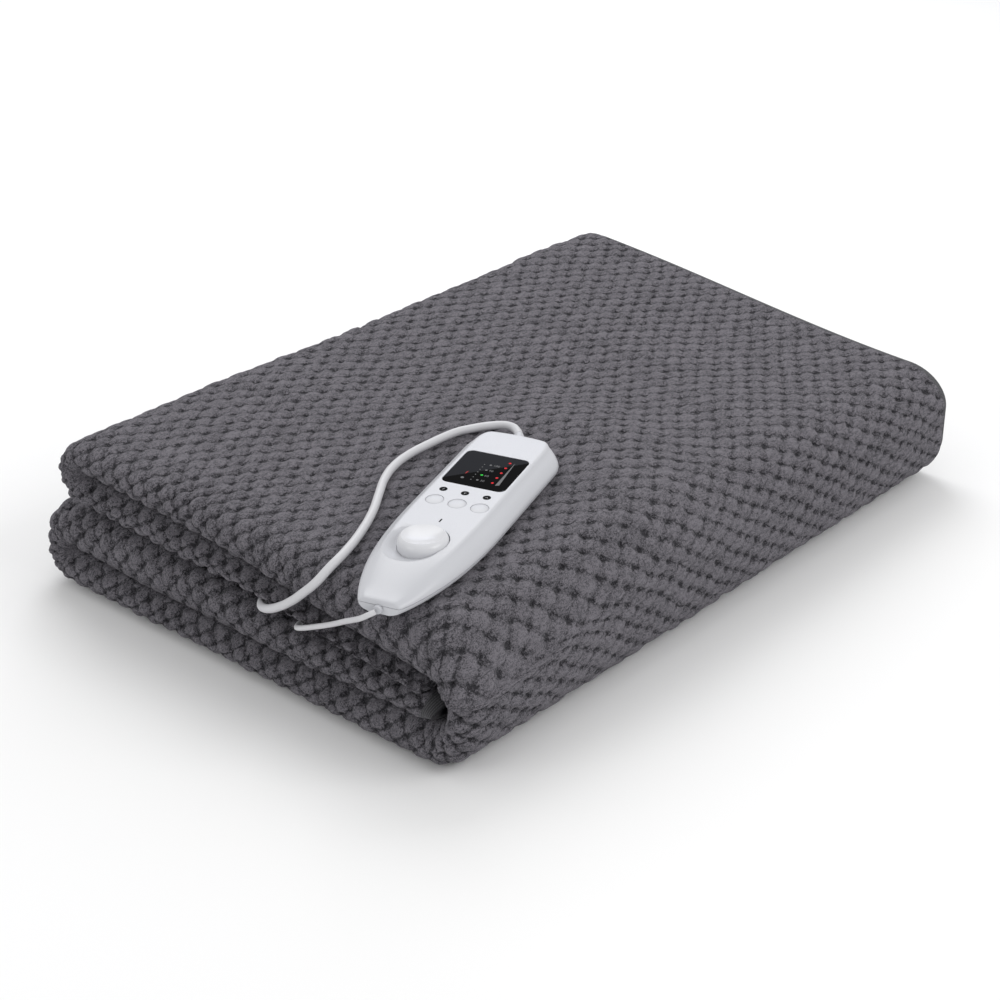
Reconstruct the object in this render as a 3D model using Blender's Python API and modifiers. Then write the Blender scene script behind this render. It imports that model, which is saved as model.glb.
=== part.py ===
"""A folded electric heated blanket with its wired handset, mains lead and plug.

The model is in metres with +Z up and stands on z = 0. X runs along the front
fold, Y runs away from it, and the origin is under the middle of the stack.
Sizes below are in millimetres, from the stack's left front corner.
"""

import bmesh
import bpy
import math

from mathutils import Euler, Matrix, Vector

MM = 0.001

# The stack
STACK_X = 366.0
STACK_Y = 503.0
NOSE_OVERHANG = 12.25
ORIGIN = Vector((STACK_X / 2, (STACK_Y - NOSE_OVERHANG) / 2, 0.0))

# The cloth: one layer is two plies, joined by a fold along the front
LAYER = 24.0
PLY_GAP = 1.0
PAIR_GAP = 1.2
MIDDLE_GAP = 3.0
FRONT_ROUND = 18.0
HEM_LENGTH = 9.0
HEM_PINCH = 0.72
INNER_END_THIRD = 28.0
INNER_END_SECOND = 42.0
END_TAPER = 7.0
END_PINCH = 0.6
ROLL_RADIUS = 24.0

# How the stack lies: heights of the gaps between layers along the front
FRONT_HEIGHTS = (
    # x, gap of layers 4 and 3, gap of 3 and 2, gap of 2 and 1, top
    {"x": 0.0, "low": 26.0, "middle": 61.0, "high": 87.0, "top": 107.0},
    {"x": 100.0, "low": 21.5, "middle": 58.0, "high": 81.5, "top": 105.0},
    {"x": 200.0, "low": 22.5, "middle": 54.5, "high": 73.0, "top": 103.0},
    {"x": 300.0, "low": 27.0, "middle": 50.5, "high": 59.5, "top": 102.0},
    {"x": 330.0, "low": 29.0, "middle": 49.5, "high": 54.5, "top": 101.5},
    {"x": 366.0, "low": 30.0, "middle": 49.5, "high": 55.0, "top": 101.0},
)
EVEN_FRACTIONS = {"low": 0.243, "middle": 0.5, "high": 0.757}
BACK_LEFT_HEIGHT = 112.0
BACK_RIGHT_HEIGHT = 82.0
EVEN_FROM_Y = 220.0
SET_BACK_FRONT = 20.0
SET_BACK_REAR = 36.0
SET_BACK_END = 300.0

# Soft swells of the top: centre, radius and rise
TOP_SWELLS = (
    {"x": 90.0, "y": 130.0, "radius": 110.0, "rise": 2.5},
    {"x": 150.0, "y": 330.0, "radius": 130.0, "rise": 3.0},
    {"x": 300.0, "y": 330.0, "radius": 90.0, "rise": 4.0},
    {"x": 40.0, "y": 440.0, "radius": 80.0, "rise": 2.5},
    {"x": 120.0, "y": 230.0, "radius": 70.0, "rise": -2.5},
    {"x": 240.0, "y": 420.0, "radius": 80.0, "rise": -2.0},
)

# The handset lies on the stack: its frame's origin is under its nose
HANDSET_LENGTH = 186.0
HANDSET_WIDTH = 61.6
HANDSET_HEIGHT = 16.0
HANDSET_NOSE = Vector((311.7, -8.8, 97.3))
HANDSET_TURN = math.radians(16.9)
HANDSET_TILT = math.radians(2.3)
PAD_INNER = 52.0
PAD_OUTER = 95.0
SEAT = 0.3
CUTTER_PROUD = 5.0

NOSE_WIDTH = 24.4
NOSE_TAPER = 98.4
NOSE_SWELL = 2.48
NOSE_FLARE = 0.89
NOSE_HEIGHT = 8.5
NOSE_DROP = 45.0
NOSE_ROUND = 1.2
END_BULGE = 1.0
BASE_HEIGHT = 5.0
PLATE_SHARE = 0.74
WINDOW_SIZE = (39.6, 40.2)
WINDOW_PLACE = 138.7
WINDOW_CORNER = 4.0
WINDOW_DEPTH = 1.2
BUTTONS = {"button_left": -13.2, "button_middle": 0.8, "button_right": 14.8}
BUTTON_ROW = 97.5
BUTTON_SIZE = 10.6
BUTTON_DEPTH = 3.6
BUTTON_TRAVEL = 1.0
KNOB_PLACE = 54.6
KNOB_ACROSS = 0.2
KNOB_PROFILE = (
    (0.0, 4.6), (5.0, 4.4), (9.5, 3.8), (12.6, 2.4), (14.1, 0.4), (14.6, -1.8), (14.6, -7.5), (0.0, -7.5),
)
DISH_PROFILE = ((0.0, 3.0), (16.4, 3.0), (15.9, 0.0), (15.4, -2.0), (15.3, -7.8), (0.0, -7.8))
KNOB_SCOOP_RADIUS = 22.0
KNOB_SCOOP_BACK = 3.0
KNOB_SCOOP_RISE = 23.4
SCOOP_RADIUS = 30.0
SCOOP_ACROSS = -4.3
SCOOP_BACK = 6.5
SCOOP_RISE = 23.2
GLAND = {"radius": 2.7, "length": 1.8, "height": 3.2, "sides": 20}

# The leads
MAINS_SIZE = 5.2
MAINS_SPACING = 12.0
THIN_SIZE = 3.2
THIN_SPACING = 9.6
RELIEF_STEP = 3.6
RELIEF_RADII = (4.4, 3.0)
RELIEF_POINTS = ((-1.6, 187.6, 8.6), (-2.2, 190.5, 8.8), (-3.4, 194.5, 8.8), (-5.0, 198.0, 8.7))
MAINS_ROUTE = (
    # out of the far end and back along the handset
    (248.9, 179.4, 114.0), (245.6, 182.6, 113.4), (241.6, 185.8, 112.7), (236.4, 189.0, 111.8),
    (231.0, 190.4, 110.9), (226.0, 189.6, 110.1), (221.4, 186.4, 109.5), (217.0, 181.2, 109.1),
    (213.2, 174.8, 108.8), (210.2, 168.6, 108.6), (208.4, 161.6, 108.2), (206.7, 144.8, 107.5),
    (206.1, 128.5, 106.7), (208.6, 112.8, 106.0), (215.3, 97.1, 105.5), (226.0, 80.8, 104.9),
    (237.1, 64.3, 104.2), (248.4, 42.8, 103.2),
    # over the front fold and down to the gap between the halves
    (257.3, 20.3, 102.3), (259.0, 7.0, 99.2), (257.0, -1.6, 93.0), (249.6, -4.0, 85.0),
    (237.6, -3.8, 74.2), (225.4, -3.6, 65.6), (215.0, -2.0, 60.2), (206.0, 2.6, 57.0), (199.2, 11.0, 55.2),
    # through the gap to the left side
    (192.6, 26.0, 53.8), (184.0, 50.0, 54.2), (167.0, 78.0, 54.8), (142.0, 106.0, 55.2),
    (108.0, 134.0, 55.3), (70.0, 160.0, 55.2), (30.0, 185.0, 55.6),
    # over the lower fold to the floor
    (11.5, 194.5, 53.4), (1.0, 200.5, 43.4), (-3.8, 204.6, 29.5), (-7.6, 208.0, 17.5),
    (-15.0, 211.6, 8.4), (-26.0, 214.3, 4.6), (-42.4, 215.5, 3.9),
)
THIN_ROUTE = (
    (312.6, -12.4, 100.3), (310.4, -15.2, 98.9), (305.6, -15.8, 95.4), (298.6, -13.4, 90.6),
    (286.0, -9.2, 82.6), (271.0, -5.0, 73.0), (256.0, -3.8, 65.0), (243.6, -3.0, 59.0), (236.0, 1.6, 55.0),
    (232.0, 11.6, 53.4), (231.6, 22.0, 52.8), (236.6, 38.0, 52.6), (249.0, 58.0, 52.2), (268.0, 76.0, 51.8),
    (290.0, 90.0, 51.5),
)
COIL_CENTRE = Vector((-62.0, 249.0, 0.0))
COIL_MIDDLE = 28.6
COIL_LIFT = 1.3
COIL_ROUND = 0.6
TIE_WIDTH = 9.0
TIE_THICK = 0.8
TIE_SLACK = 0.5
TAIL_ROUTE = ((-95.8, 268.5, 9.1), (-95.9, 282.0, 8.2), (-95.6, 294.0, 7.4), (-95.4, 306.0, 7.0))
PLUG_PLACE = Vector((-95.4, 306.3, 7.0))
PLUG_SECTIONS = (
    {"along": 0.0, "width": 8.0, "height": 7.6, "square": 1.0},
    {"along": 9.0, "width": 10.0, "height": 9.4, "square": 0.9},
    {"along": 13.0, "width": 20.0, "height": 12.6, "square": 0.6},
    {"along": 18.0, "width": 26.0, "height": 13.7, "square": 0.5},
    {"along": 26.0, "width": 26.5, "height": 13.7, "square": 0.45},
    {"along": 33.0, "width": 34.0, "height": 13.7, "square": 0.45},
    {"along": 37.0, "width": 35.3, "height": 13.7, "square": 0.45},
)
PIN_SIZE = {"radius": 2.0, "length": 19.0, "spacing": 18.6}

# Where leads run between layers 3 and 2, the gap stays open
LEAD_GAP = 7.8
LEAD_GAP_FALL = 1.6
LEAD_SPOTS = (
    {"x": 215.0, "y": 0.0, "radius": 62.0},
    {"x": 185.0, "y": 55.0, "radius": 62.0},
    {"x": 140.0, "y": 110.0, "radius": 62.0},
    {"x": 90.0, "y": 155.0, "radius": 62.0},
    {"x": 30.0, "y": 185.0, "radius": 62.0},
    {"x": 250.0, "y": 50.0, "radius": 62.0},
    {"x": 300.0, "y": 95.0, "radius": 62.0},
)


def smooth(value):
    """0 below 0, 1 above 1 and an even S between them."""
    value = min(max(value, 0.0), 1.0)
    return value * value * (3.0 - 2.0 * value)


def mix(first, second, share):
    return first + (second - first) * share


def steps(first, last, count):
    """count + 1 evenly spaced values from first to last."""
    return [mix(first, last, i / count) for i in range(count + 1)]


# ---------------------------------------------------------------- the frame


def handset_frame():
    turn = Euler((HANDSET_TILT, 0.0, HANDSET_TURN), "XYZ").to_matrix().to_4x4()
    return Matrix.Translation((HANDSET_NOSE - ORIGIN) * MM) @ turn


def seat_height(x, y):
    """Height of the handset's underside over a point of the stack."""
    normal = Euler((HANDSET_TILT, 0.0, HANDSET_TURN), "XYZ").to_matrix() @ Vector((0, 0, 1))
    across = Vector((x, y, 0.0)) - Vector((HANDSET_NOSE.x, HANDSET_NOSE.y, 0.0))
    return HANDSET_NOSE.z - across.dot(normal) / normal.z


def handset_distance(x, y):
    """Distance in plan from the line down the handset's middle."""
    along = Vector((-math.sin(HANDSET_TURN), math.cos(HANDSET_TURN)))
    offset = Vector((x - HANDSET_NOSE.x, y - HANDSET_NOSE.y))
    reach = min(max(offset.dot(along), 0.0), HANDSET_LENGTH)
    return (offset - along * reach).length


# ------------------------------------------------------------- the blanket


def front_heights(x):
    """The row of FRONT_HEIGHTS at x, read between its neighbours."""
    rows = FRONT_HEIGHTS
    for left, right in zip(rows, rows[1:]):
        if x <= right["x"]:
            break
    share = min(max((x - left["x"]) / (right["x"] - left["x"]), 0.0), 1.0)
    return {key: mix(left[key], right[key], share) for key in ("low", "middle", "high", "top")}


def top_height(x, y):
    """The top of the stack, with its corners, its swells and the handset's seat."""
    back = mix(BACK_LEFT_HEIGHT, BACK_RIGHT_HEIGHT, smooth(x / STACK_X))
    height = mix(front_heights(x)["top"], back, min(max(y / STACK_Y, 0.0), 1.0))
    for swell in TOP_SWELLS:
        reach = math.hypot(x - swell["x"], y - swell["y"]) / swell["radius"]
        height += swell["rise"] * smooth(1.0 - reach)
    away = (handset_distance(x, y) - PAD_INNER) / (PAD_OUTER - PAD_INNER)
    return mix(seat_height(x, y) - SEAT, height, smooth(away))


def lead_gap(x, y):
    """The gap between layers 3 and 2, wider where the leads run."""
    nearest = 0.0
    for spot in LEAD_SPOTS:
        reach = math.hypot(x - spot["x"], y - spot["y"]) / spot["radius"]
        nearest = max(nearest, smooth(LEAD_GAP_FALL * (1.0 - reach)))
    return mix(MIDDLE_GAP, LEAD_GAP, nearest)


def real_heights(x, y):
    """Real heights of the floor, the three gaps (the middle one twice) and the top."""
    front = front_heights(x)
    top = top_height(x, y)
    back_share = smooth(y / EVEN_FROM_Y)
    at = {}
    for key, fraction in EVEN_FRACTIONS.items():
        at[key] = mix(front[key] / front["top"], fraction, back_share) * top
    half = lead_gap(x, y) / 2
    return [0.0, at["low"], at["middle"] - half, at["middle"] + half, at["high"], top]


def even_heights():
    """The same heights in an even stack."""
    pair = 2 * LAYER + PAIR_GAP
    low = LAYER + PAIR_GAP / 2
    return [0.0, low, pair, pair + MIDDLE_GAP, pair + MIDDLE_GAP + low, 2 * pair + MIDDLE_GAP]


def lie(x, y, z):
    """A point of the even stack, moved to where the cloth really lies."""
    even = even_heights()
    upper = smooth((z - even[2]) / MIDDLE_GAP)
    set_back = mix(SET_BACK_FRONT, SET_BACK_REAR, y / STACK_Y)
    x = x + set_back * upper * (1.0 - smooth(x / SET_BACK_END))
    real = real_heights(x, y)
    for i in range(5):
        if z <= even[i + 1] or i == 4:
            share = (z - even[i]) / (even[i + 1] - even[i])
            return Vector((x, y, mix(real[i], real[i + 1], share)))


def turn_stations(x, z, radius, first, last, count):
    """Stations round a fold: place and direction of the outer side."""
    angles = [math.radians(a) for a in steps(first, last, count)]
    return [(x + radius * math.cos(a), z + radius * math.sin(a), a) for a in angles]


def fold_stations():
    """The middle of the layers, from the inner end of layer 2 to that of layer 3."""
    heights = [LAYER / 2 + i * (LAYER + PAIR_GAP) for i in range(2)]
    heights += [h + 2 * LAYER + PAIR_GAP + MIDDLE_GAP for h in heights]
    fourth, third, second, first = heights
    turn = (LAYER + PAIR_GAP) / 2
    left = turn + LAYER / 2
    right = STACK_X - LAYER / 2 - ROLL_RADIUS
    down, up = math.radians(-90), math.radians(90)
    end_second, end_third = STACK_X - INNER_END_SECOND, STACK_X - INNER_END_THIRD
    stations = [(end_second, second, down)]
    stations += [(x, second, down) for x in steps(end_second - END_TAPER, left, 11)][:-1]
    stations += turn_stations(left, second + turn, turn, 270, 90, 8)
    stations += [(x, first, up) for x in steps(left, right, 13)][1:-1]
    stations += turn_stations(right, first - ROLL_RADIUS, ROLL_RADIUS, 90, 0, 6)
    stations += turn_stations(right, fourth + ROLL_RADIUS, ROLL_RADIUS, 0, -90, 6)
    stations += [(x, fourth, down) for x in steps(right, left, 11)][1:-1]
    stations += turn_stations(left, fourth + turn, turn, 270, 90, 8)
    stations += [(x, third, up) for x in steps(left, end_third - END_TAPER, 12)][1:]
    return stations + [(end_third, third, up)]


def ply_section():
    """One layer seen along its fold: lines of (y, height over its middle), in order round it."""
    half = LAYER / 2
    flat = steps(FRONT_ROUND, STACK_Y - HEM_LENGTH, 16)
    slit = steps(FRONT_ROUND, STACK_Y, 8)
    return {
        "upper": [(STACK_Y, half * HEM_PINCH)] + [(y, half) for y in reversed(flat)],
        "nose": [
            (FRONT_ROUND * (1 - math.sin(math.radians(a))), half * math.cos(math.radians(a)))
            for a in steps(0, 180, 6)[1:-1]
        ],
        "lower": [(y, -half) for y in flat] + [(STACK_Y, -half * HEM_PINCH)],
        "under_slit": [(y, -PLY_GAP / 2) for y in reversed(slit)],
        "tip": [(FRONT_ROUND - PLY_GAP, 0.0)],
        "over_slit": [(y, PLY_GAP / 2) for y in slit],
    }


def strip(mesh, first, second):
    """Triangles between two lines of points that run side by side, away from +Y."""
    i = j = 0
    while i < len(first) - 1 or j < len(second) - 1:
        on_first = i < len(first) - 1
        if on_first and (j == len(second) - 1 or first[i + 1].co.y >= second[j + 1].co.y):
            mesh.faces.new((first[i], first[i + 1], second[j]))
            i += 1
        else:
            mesh.faces.new((first[i], second[j + 1], second[j]))
            j += 1


def close_end(mesh, ring, section):
    """Covers a layer's end: a strip on each ply and a fan at their fold."""
    lines, start = {}, 0
    for name, line in section.items():
        lines[name] = ring[start : start + len(line)]
        start += len(line)
    strip(mesh, lines["upper"], lines["over_slit"][::-1])
    strip(mesh, lines["lower"][::-1], lines["under_slit"])
    rim = [lines["over_slit"][0], lines["upper"][-1]] + lines["nose"]
    rim += [lines["lower"][0], lines["under_slit"][-1]]
    for near, far in zip(rim, rim[1:]):
        mesh.faces.new((lines["tip"][0], near, far))


def make_blanket(collection):
    mesh = bmesh.new()
    section = ply_section()
    stations = fold_stations()
    rings = []
    for number, (x, z, angle) in enumerate(stations):
        pinch = END_PINCH if number in (0, len(stations) - 1) else 1.0
        ring = []
        for y, rise in sum(section.values(), []):
            out = rise * pinch
            point = lie(x + out * math.cos(angle), y, z + out * math.sin(angle))
            ring.append(mesh.verts.new((point - ORIGIN) * MM))
        rings.append(ring)
    for near, far in zip(rings, rings[1:]):
        for i in range(len(near)):
            j = (i + 1) % len(near)
            mesh.faces.new((near[i], near[j], far[j], far[i]))
    close_end(mesh, rings[0], section)
    close_end(mesh, rings[-1], section)
    bmesh.ops.recalc_face_normals(mesh, faces=mesh.faces)
    return finish_mesh("blanket", mesh, collection, material("grey_fleece", (0.165, 0.16, 0.175), 0.95))


# ------------------------------------------------------------------ helpers


def material(name, colour, roughness, metallic=0.0):
    """One Principled material for each finish, made the first time it is asked for."""
    found = bpy.data.materials.get(name)
    if found:
        return found
    made = bpy.data.materials.new(name)
    made.use_nodes = True
    shader = made.node_tree.nodes["Principled BSDF"]
    shader.inputs["Base Color"].default_value = (*colour, 1.0)
    shader.inputs["Roughness"].default_value = roughness
    shader.inputs["Metallic"].default_value = metallic
    return made


def finish_mesh(name, mesh, collection, finish):
    """Turns a bmesh into a named, smooth-shaded object of the collection."""
    data = bpy.data.meshes.new(name)
    mesh.to_mesh(data)
    mesh.free()
    data.shade_smooth()
    data.set_sharp_from_angle(angle=math.radians(40))
    data.materials.append(finish)
    made = bpy.data.objects.new(name, data)
    collection.objects.link(made)
    return made


# ------------------------------------------------------------- the handset


def handset_half_width(along):
    """Half the handset's width: a narrow nose that swells to straight sides."""
    full = HANDSET_WIDTH / 2
    share = min(along / NOSE_TAPER, 1.0)
    return mix(NOSE_WIDTH / 2, full, (1.0 - (1.0 - share) ** NOSE_SWELL) ** NOSE_FLARE)


def handset_top(along):
    """Height of the top plate: level, and rounded down to the nose."""
    share = min(along / NOSE_DROP, 1.0)
    return mix(NOSE_HEIGHT, HANDSET_HEIGHT, math.sin(share * math.pi / 2) ** NOSE_ROUND)


def bulge(across, along):
    """How far the curved far end stands out behind a straight one."""
    share = across / (HANDSET_WIDTH / 2)
    return END_BULGE * (1.0 - share * share) * smooth((along / HANDSET_LENGTH - 0.85) / 0.15)


def loft(rings):
    """A closed body through rings of equally many points."""
    mesh = bmesh.new()
    loops = [[mesh.verts.new(Vector(point) * MM) for point in ring] for ring in rings]
    for near, far in zip(loops, loops[1:]):
        for i in range(len(near)):
            j = (i + 1) % len(near)
            mesh.faces.new((near[i], near[j], far[j], far[i]))
    mesh.faces.new(loops[0])
    mesh.faces.new(reversed(loops[-1]))
    bmesh.ops.triangulate(mesh, faces=[f for f in mesh.faces if len(f.verts) > 4])
    bmesh.ops.recalc_face_normals(mesh, faces=mesh.faces)
    return mesh


def mirrored(half):
    """A ring from its right half, listed from the bottom up."""
    return half + [(-x, z) for x, z in reversed(half)]


def shell_rings(half_ring, shrink_ends):
    """Rings of a shell along the handset, a little smaller at both ends."""
    rings = []
    for along, shrink in shrink_ends:
        ring = []
        for x, z in mirrored(half_ring(along, shrink)):
            ring.append((x, along + bulge(x, along), z))
        rings.append(ring)
    return rings


def handset_stations():
    """Places along the handset, with how much the ring there is drawn in."""
    nose = [(0.0, 0.9), (1.4, 0.0), (5.0, 0.0), (11.0, 0.0), (18.0, 0.0), (26.0, 0.0)]
    middle = [(along, 0.0) for along in steps(36.0, 173.0, 10)]
    return nose + middle + [(179.0, 0.0), (182.5, 0.15), (184.8, 0.5), (HANDSET_LENGTH, 1.4)]


def base_half_ring(along, shrink):
    half = handset_half_width(along) - shrink
    return [(half - 5.5, 0.0), (half - 2.0, 1.2), (half - 0.4, 3.0), (half, BASE_HEIGHT)]


def top_half_ring(along, shrink):
    half = handset_half_width(along) - shrink
    top = handset_top(along) - shrink * 0.3
    plate = half * PLATE_SHARE
    low = BASE_HEIGHT + SEAT
    rise = top - low
    return [
        (half, low),
        (half - 0.4, low + 0.2 * rise),
        (mix(half, plate, 0.42), low + 0.56 * rise),
        (plate + 1.6, top - 0.24 * rise),
        (plate, top - 0.065 * rise),
        (plate - 3.0, top),
    ]


def make_base_shell(parts, frame):
    rings = shell_rings(base_half_ring, handset_stations())
    made = finish_mesh("handset_base_shell", loft(rings), parts, white_plastic())
    made.matrix_world = frame
    return made


def make_top_shell(parts, cutters, frame):
    rings = shell_rings(top_half_ring, handset_stations())
    made = finish_mesh("handset_top_shell", loft(rings), parts, white_plastic())
    made.matrix_world = frame
    cut(made, window_block("window_pocket", cutters, frame, SEAT, WINDOW_DEPTH + SEAT, CUTTER_PROUD))
    hole_depth = BUTTON_DEPTH + BUTTON_TRAVEL + SEAT
    for name, across in BUTTONS.items():
        hole = disc(f"{name}_hole", cutters, BUTTON_SIZE / 2 + SEAT, hole_depth + CUTTER_PROUD)
        hole.matrix_world = frame @ place(across, BUTTON_ROW, HANDSET_HEIGHT - hole_depth)
        cut(made, hole)
    dish = turned("knob_dish", cutters, DISH_PROFILE, 48)
    dish.matrix_world = frame @ place(KNOB_ACROSS, KNOB_PLACE, HANDSET_HEIGHT)
    cut(made, dish)
    scoop = ball("dish_scoop", cutters, SCOOP_RADIUS)
    scoop.matrix_world = frame @ place(SCOOP_ACROSS, KNOB_PLACE - SCOOP_BACK, HANDSET_HEIGHT + SCOOP_RISE)
    cut(made, scoop)
    return made


def place(across, along, height):
    return Matrix.Translation(Vector((across, along, height)) * MM)


def cut(body, cutter):
    """Takes the cutter's shape out of the body with an exact Boolean."""
    cutter.hide_render = True
    cutter.display_type = "WIRE"
    taken = body.modifiers.new(cutter.name, "BOOLEAN")
    taken.operation = "DIFFERENCE"
    taken.solver = "EXACT"
    taken.object = cutter


def disc(name, collection, radius, height, segments=32):
    """A plain cylinder standing on its own origin."""
    mesh = bmesh.new()
    bmesh.ops.create_cone(
        mesh,
        cap_ends=True,
        segments=segments,
        radius1=radius * MM,
        radius2=radius * MM,
        depth=height * MM,
        matrix=Matrix.Translation((0.0, 0.0, height / 2 * MM)),
    )
    return finish_mesh(name, mesh, collection, white_plastic())


def ball(name, collection, radius):
    mesh = bmesh.new()
    bmesh.ops.create_uvsphere(mesh, u_segments=40, v_segments=24, radius=radius * MM)
    return finish_mesh(name, mesh, collection, white_plastic())


def turned(name, collection, profile, segments, finish=None):
    """A body turned from a profile of (radius, height), listed from the top middle down."""
    mesh = bmesh.new()
    verts = [mesh.verts.new((radius * MM, 0.0, height * MM)) for radius, height in profile]
    for first, second in zip(verts, verts[1:]):
        mesh.edges.new((first, second))
    made = finish_mesh(name, mesh, collection, finish or white_plastic())
    screw = made.modifiers.new("turn", "SCREW")
    screw.axis = "Z"
    screw.steps = segments
    screw.render_steps = segments
    screw.use_merge_vertices = True
    screw.merge_threshold = 0.09 * MM
    return made


def window_block(name, collection, frame, margin, depth, proud):
    """A slab with round corners over the display's place."""
    mesh = bmesh.new()
    width, length = WINDOW_SIZE
    height = depth + proud
    bmesh.ops.create_cube(mesh, size=1.0)
    scale = Matrix.Diagonal(((width + 2 * margin) * MM, (length + 2 * margin) * MM, height * MM, 1.0))
    bmesh.ops.transform(mesh, matrix=scale, verts=mesh.verts)
    corners = [e for e in mesh.edges if abs(e.verts[0].co.z - e.verts[1].co.z) > height * MM / 2]
    offset = (WINDOW_CORNER + margin) * MM
    bmesh.ops.bevel(mesh, geom=corners, offset=offset, segments=5, profile=0.5, affect="EDGES")
    made = finish_mesh(name, mesh, collection, material("window_black", (0.012, 0.012, 0.014), 0.08))
    made.matrix_world = frame @ place(0.0, WINDOW_PLACE, HANDSET_HEIGHT - depth + height / 2)
    return made


def make_buttons(parts, frame):
    for name, across in BUTTONS.items():
        rim = BUTTON_SIZE / 2
        profile = [
            (0.0, 0.55), (rim * 0.5, 0.42), (rim * 0.82, 0.12), (rim - 0.25, -0.3),
            (rim, -0.7), (rim, -BUTTON_DEPTH), (0.0, -BUTTON_DEPTH),
        ]
        made = turned(name, parts, profile, 32)
        made.matrix_world = frame @ place(across, BUTTON_ROW, HANDSET_HEIGHT)


def make_knob(parts, cutters, frame):
    made = turned("heat_knob", parts, KNOB_PROFILE, 48)
    made.matrix_world = frame @ place(KNOB_ACROSS, KNOB_PLACE, HANDSET_HEIGHT)
    groove = disc("knob_scoop", cutters, KNOB_SCOOP_RADIUS, 60.0, 64)
    turn = Matrix.Rotation(math.radians(90), 4, "Y")
    lift = place(-30.0, KNOB_PLACE + KNOB_SCOOP_BACK, HANDSET_HEIGHT + KNOB_SCOOP_RISE)
    groove.matrix_world = frame @ lift @ turn
    cut(made, groove)
    return made


def make_nose_gland(parts, frame):
    """The short round collar that the thin lead leaves through."""
    angles = [math.tau * i / GLAND["sides"] for i in range(GLAND["sides"])]
    rings = []
    for share, shrink in ((0.0, 1.0), (0.75, 0.97), (1.0, 0.9)):
        radius = GLAND["radius"] * shrink
        along = -SEAT - GLAND["length"] * share
        rings.append([
            (radius * math.cos(a), along, GLAND["height"] + radius * math.sin(a)) for a in angles
        ])
    made = finish_mesh("nose_gland", loft(rings), parts, white_plastic())
    made.matrix_world = frame
    return made


# --------------------------------------------------------- leads and plug


def catmull(points, spacing):
    """Points at an even spacing on the smooth curve through the given ones."""
    points = [Vector(p) for p in points]
    ends = [points[0] * 2 - points[1]] + points + [points[-1] * 2 - points[-2]]
    fine = []
    for a, b, c, d in zip(ends, ends[1:], ends[2:], ends[3:]):
        for i in range(20):
            t = i / 20
            square = (2 * a - 5 * b + 4 * c - d) * t**2
            cube = (3 * b - a - 3 * c + d) * t**3
            fine.append(0.5 * (2 * b + (c - a) * t + square + cube))
    fine.append(points[-1])
    lengths = [0.0]
    for a, b in zip(fine, fine[1:]):
        lengths.append(lengths[-1] + (b - a).length)
    count = max(2, round(lengths[-1] / spacing))
    found, i = [], 0
    for target in steps(0.0, lengths[-1], count):
        while i < len(fine) - 2 and lengths[i + 1] < target:
            i += 1
        share = (target - lengths[i]) / (lengths[i + 1] - lengths[i])
        found.append(fine[i].lerp(fine[i + 1], share))
    return found


def tube(name, collection, points, radii, resolution, finish):
    """A capped round tube along points of the stack, thinner where its radius falls."""
    curve = bpy.data.curves.new(name, "CURVE")
    curve.dimensions = "3D"
    curve.bevel_depth = radii[0] * MM
    curve.bevel_resolution = resolution
    curve.use_fill_caps = True
    spline = curve.splines.new("POLY")
    spline.points.add(len(points) - 1)
    for i, (target, point) in enumerate(zip(spline.points, points)):
        target.co = (*((point - ORIGIN) * MM), 1.0)
        target.radius = mix(radii[0], radii[-1], i / (len(points) - 1)) / radii[0]
    curve.materials.append(finish)
    made = bpy.data.objects.new(name, curve)
    collection.objects.link(made)
    return made


def on_handset(frame, points):
    """Points given from under the handset's nose, as points of the stack."""
    return [frame @ (Vector(p) * MM) / MM + ORIGIN for p in points]


def make_leads(parts, frame):
    relief = catmull(on_handset(frame, RELIEF_POINTS), RELIEF_STEP)
    tube("strain_relief", parts, relief, RELIEF_RADII, 3, white_plastic())
    mains = catmull(MAINS_ROUTE, MAINS_SPACING)
    tube("mains_cord", parts, mains, [MAINS_SIZE / 2], 3, white_plastic())
    tail = catmull(TAIL_ROUTE, MAINS_SPACING)
    tube("mains_cord_tail", parts, tail, [MAINS_SIZE / 2], 3, white_plastic())
    thin = catmull(THIN_ROUTE, THIN_SPACING)
    tube("blanket_cord", parts, thin, [THIN_SIZE / 2], 2, white_plastic())


def make_coil(parts):
    """The wound length of the mains lead, as one ring, and the band that ties it."""
    inner = COIL_MIDDLE - 1.5 * MAINS_SIZE
    outer = COIL_MIDDLE + 1.5 * MAINS_SIZE
    low, high = COIL_LIFT, COIL_LIFT + 2 * MAINS_SIZE
    edge = MAINS_SIZE / 2 * COIL_ROUND
    profile = [
        (inner, high - edge), (inner + edge, high), (outer - edge, high), (outer, high - edge),
        (outer, low + edge), (outer - edge, low), (inner + edge, low), (inner, low + edge),
    ]
    ring = turned("mains_cord_coil", parts, profile + profile[:1], 40)
    ring.location = (COIL_CENTRE - ORIGIN) * MM
    band = bmesh.new()
    wide = outer - inner + 2 * (SEAT + TIE_SLACK)
    tall = high - low + 2 * SEAT
    span = (wide + 2 * TIE_THICK, TIE_WIDTH, tall + 2 * TIE_THICK)
    bmesh.ops.create_cube(band, size=1.0)
    bmesh.ops.transform(band, matrix=Matrix.Diagonal((*(Vector(span) * MM), 1.0)), verts=band.verts)
    tie = finish_mesh("cord_tie", band, parts, material("tie_black", (0.02, 0.02, 0.02), 0.6))
    at = COIL_CENTRE + Vector((COIL_MIDDLE, 0.0, (low + high) / 2))
    tie.location = (at - ORIGIN) * MM
    hollow = bmesh.new()
    span = (wide, TIE_WIDTH * 2, tall)
    bmesh.ops.create_cube(hollow, size=1.0)
    bmesh.ops.transform(hollow, matrix=Matrix.Diagonal((*(Vector(span) * MM), 1.0)), verts=hollow.verts)
    return tie, finish_mesh("tie_hollow", hollow, parts, white_plastic())


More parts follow.
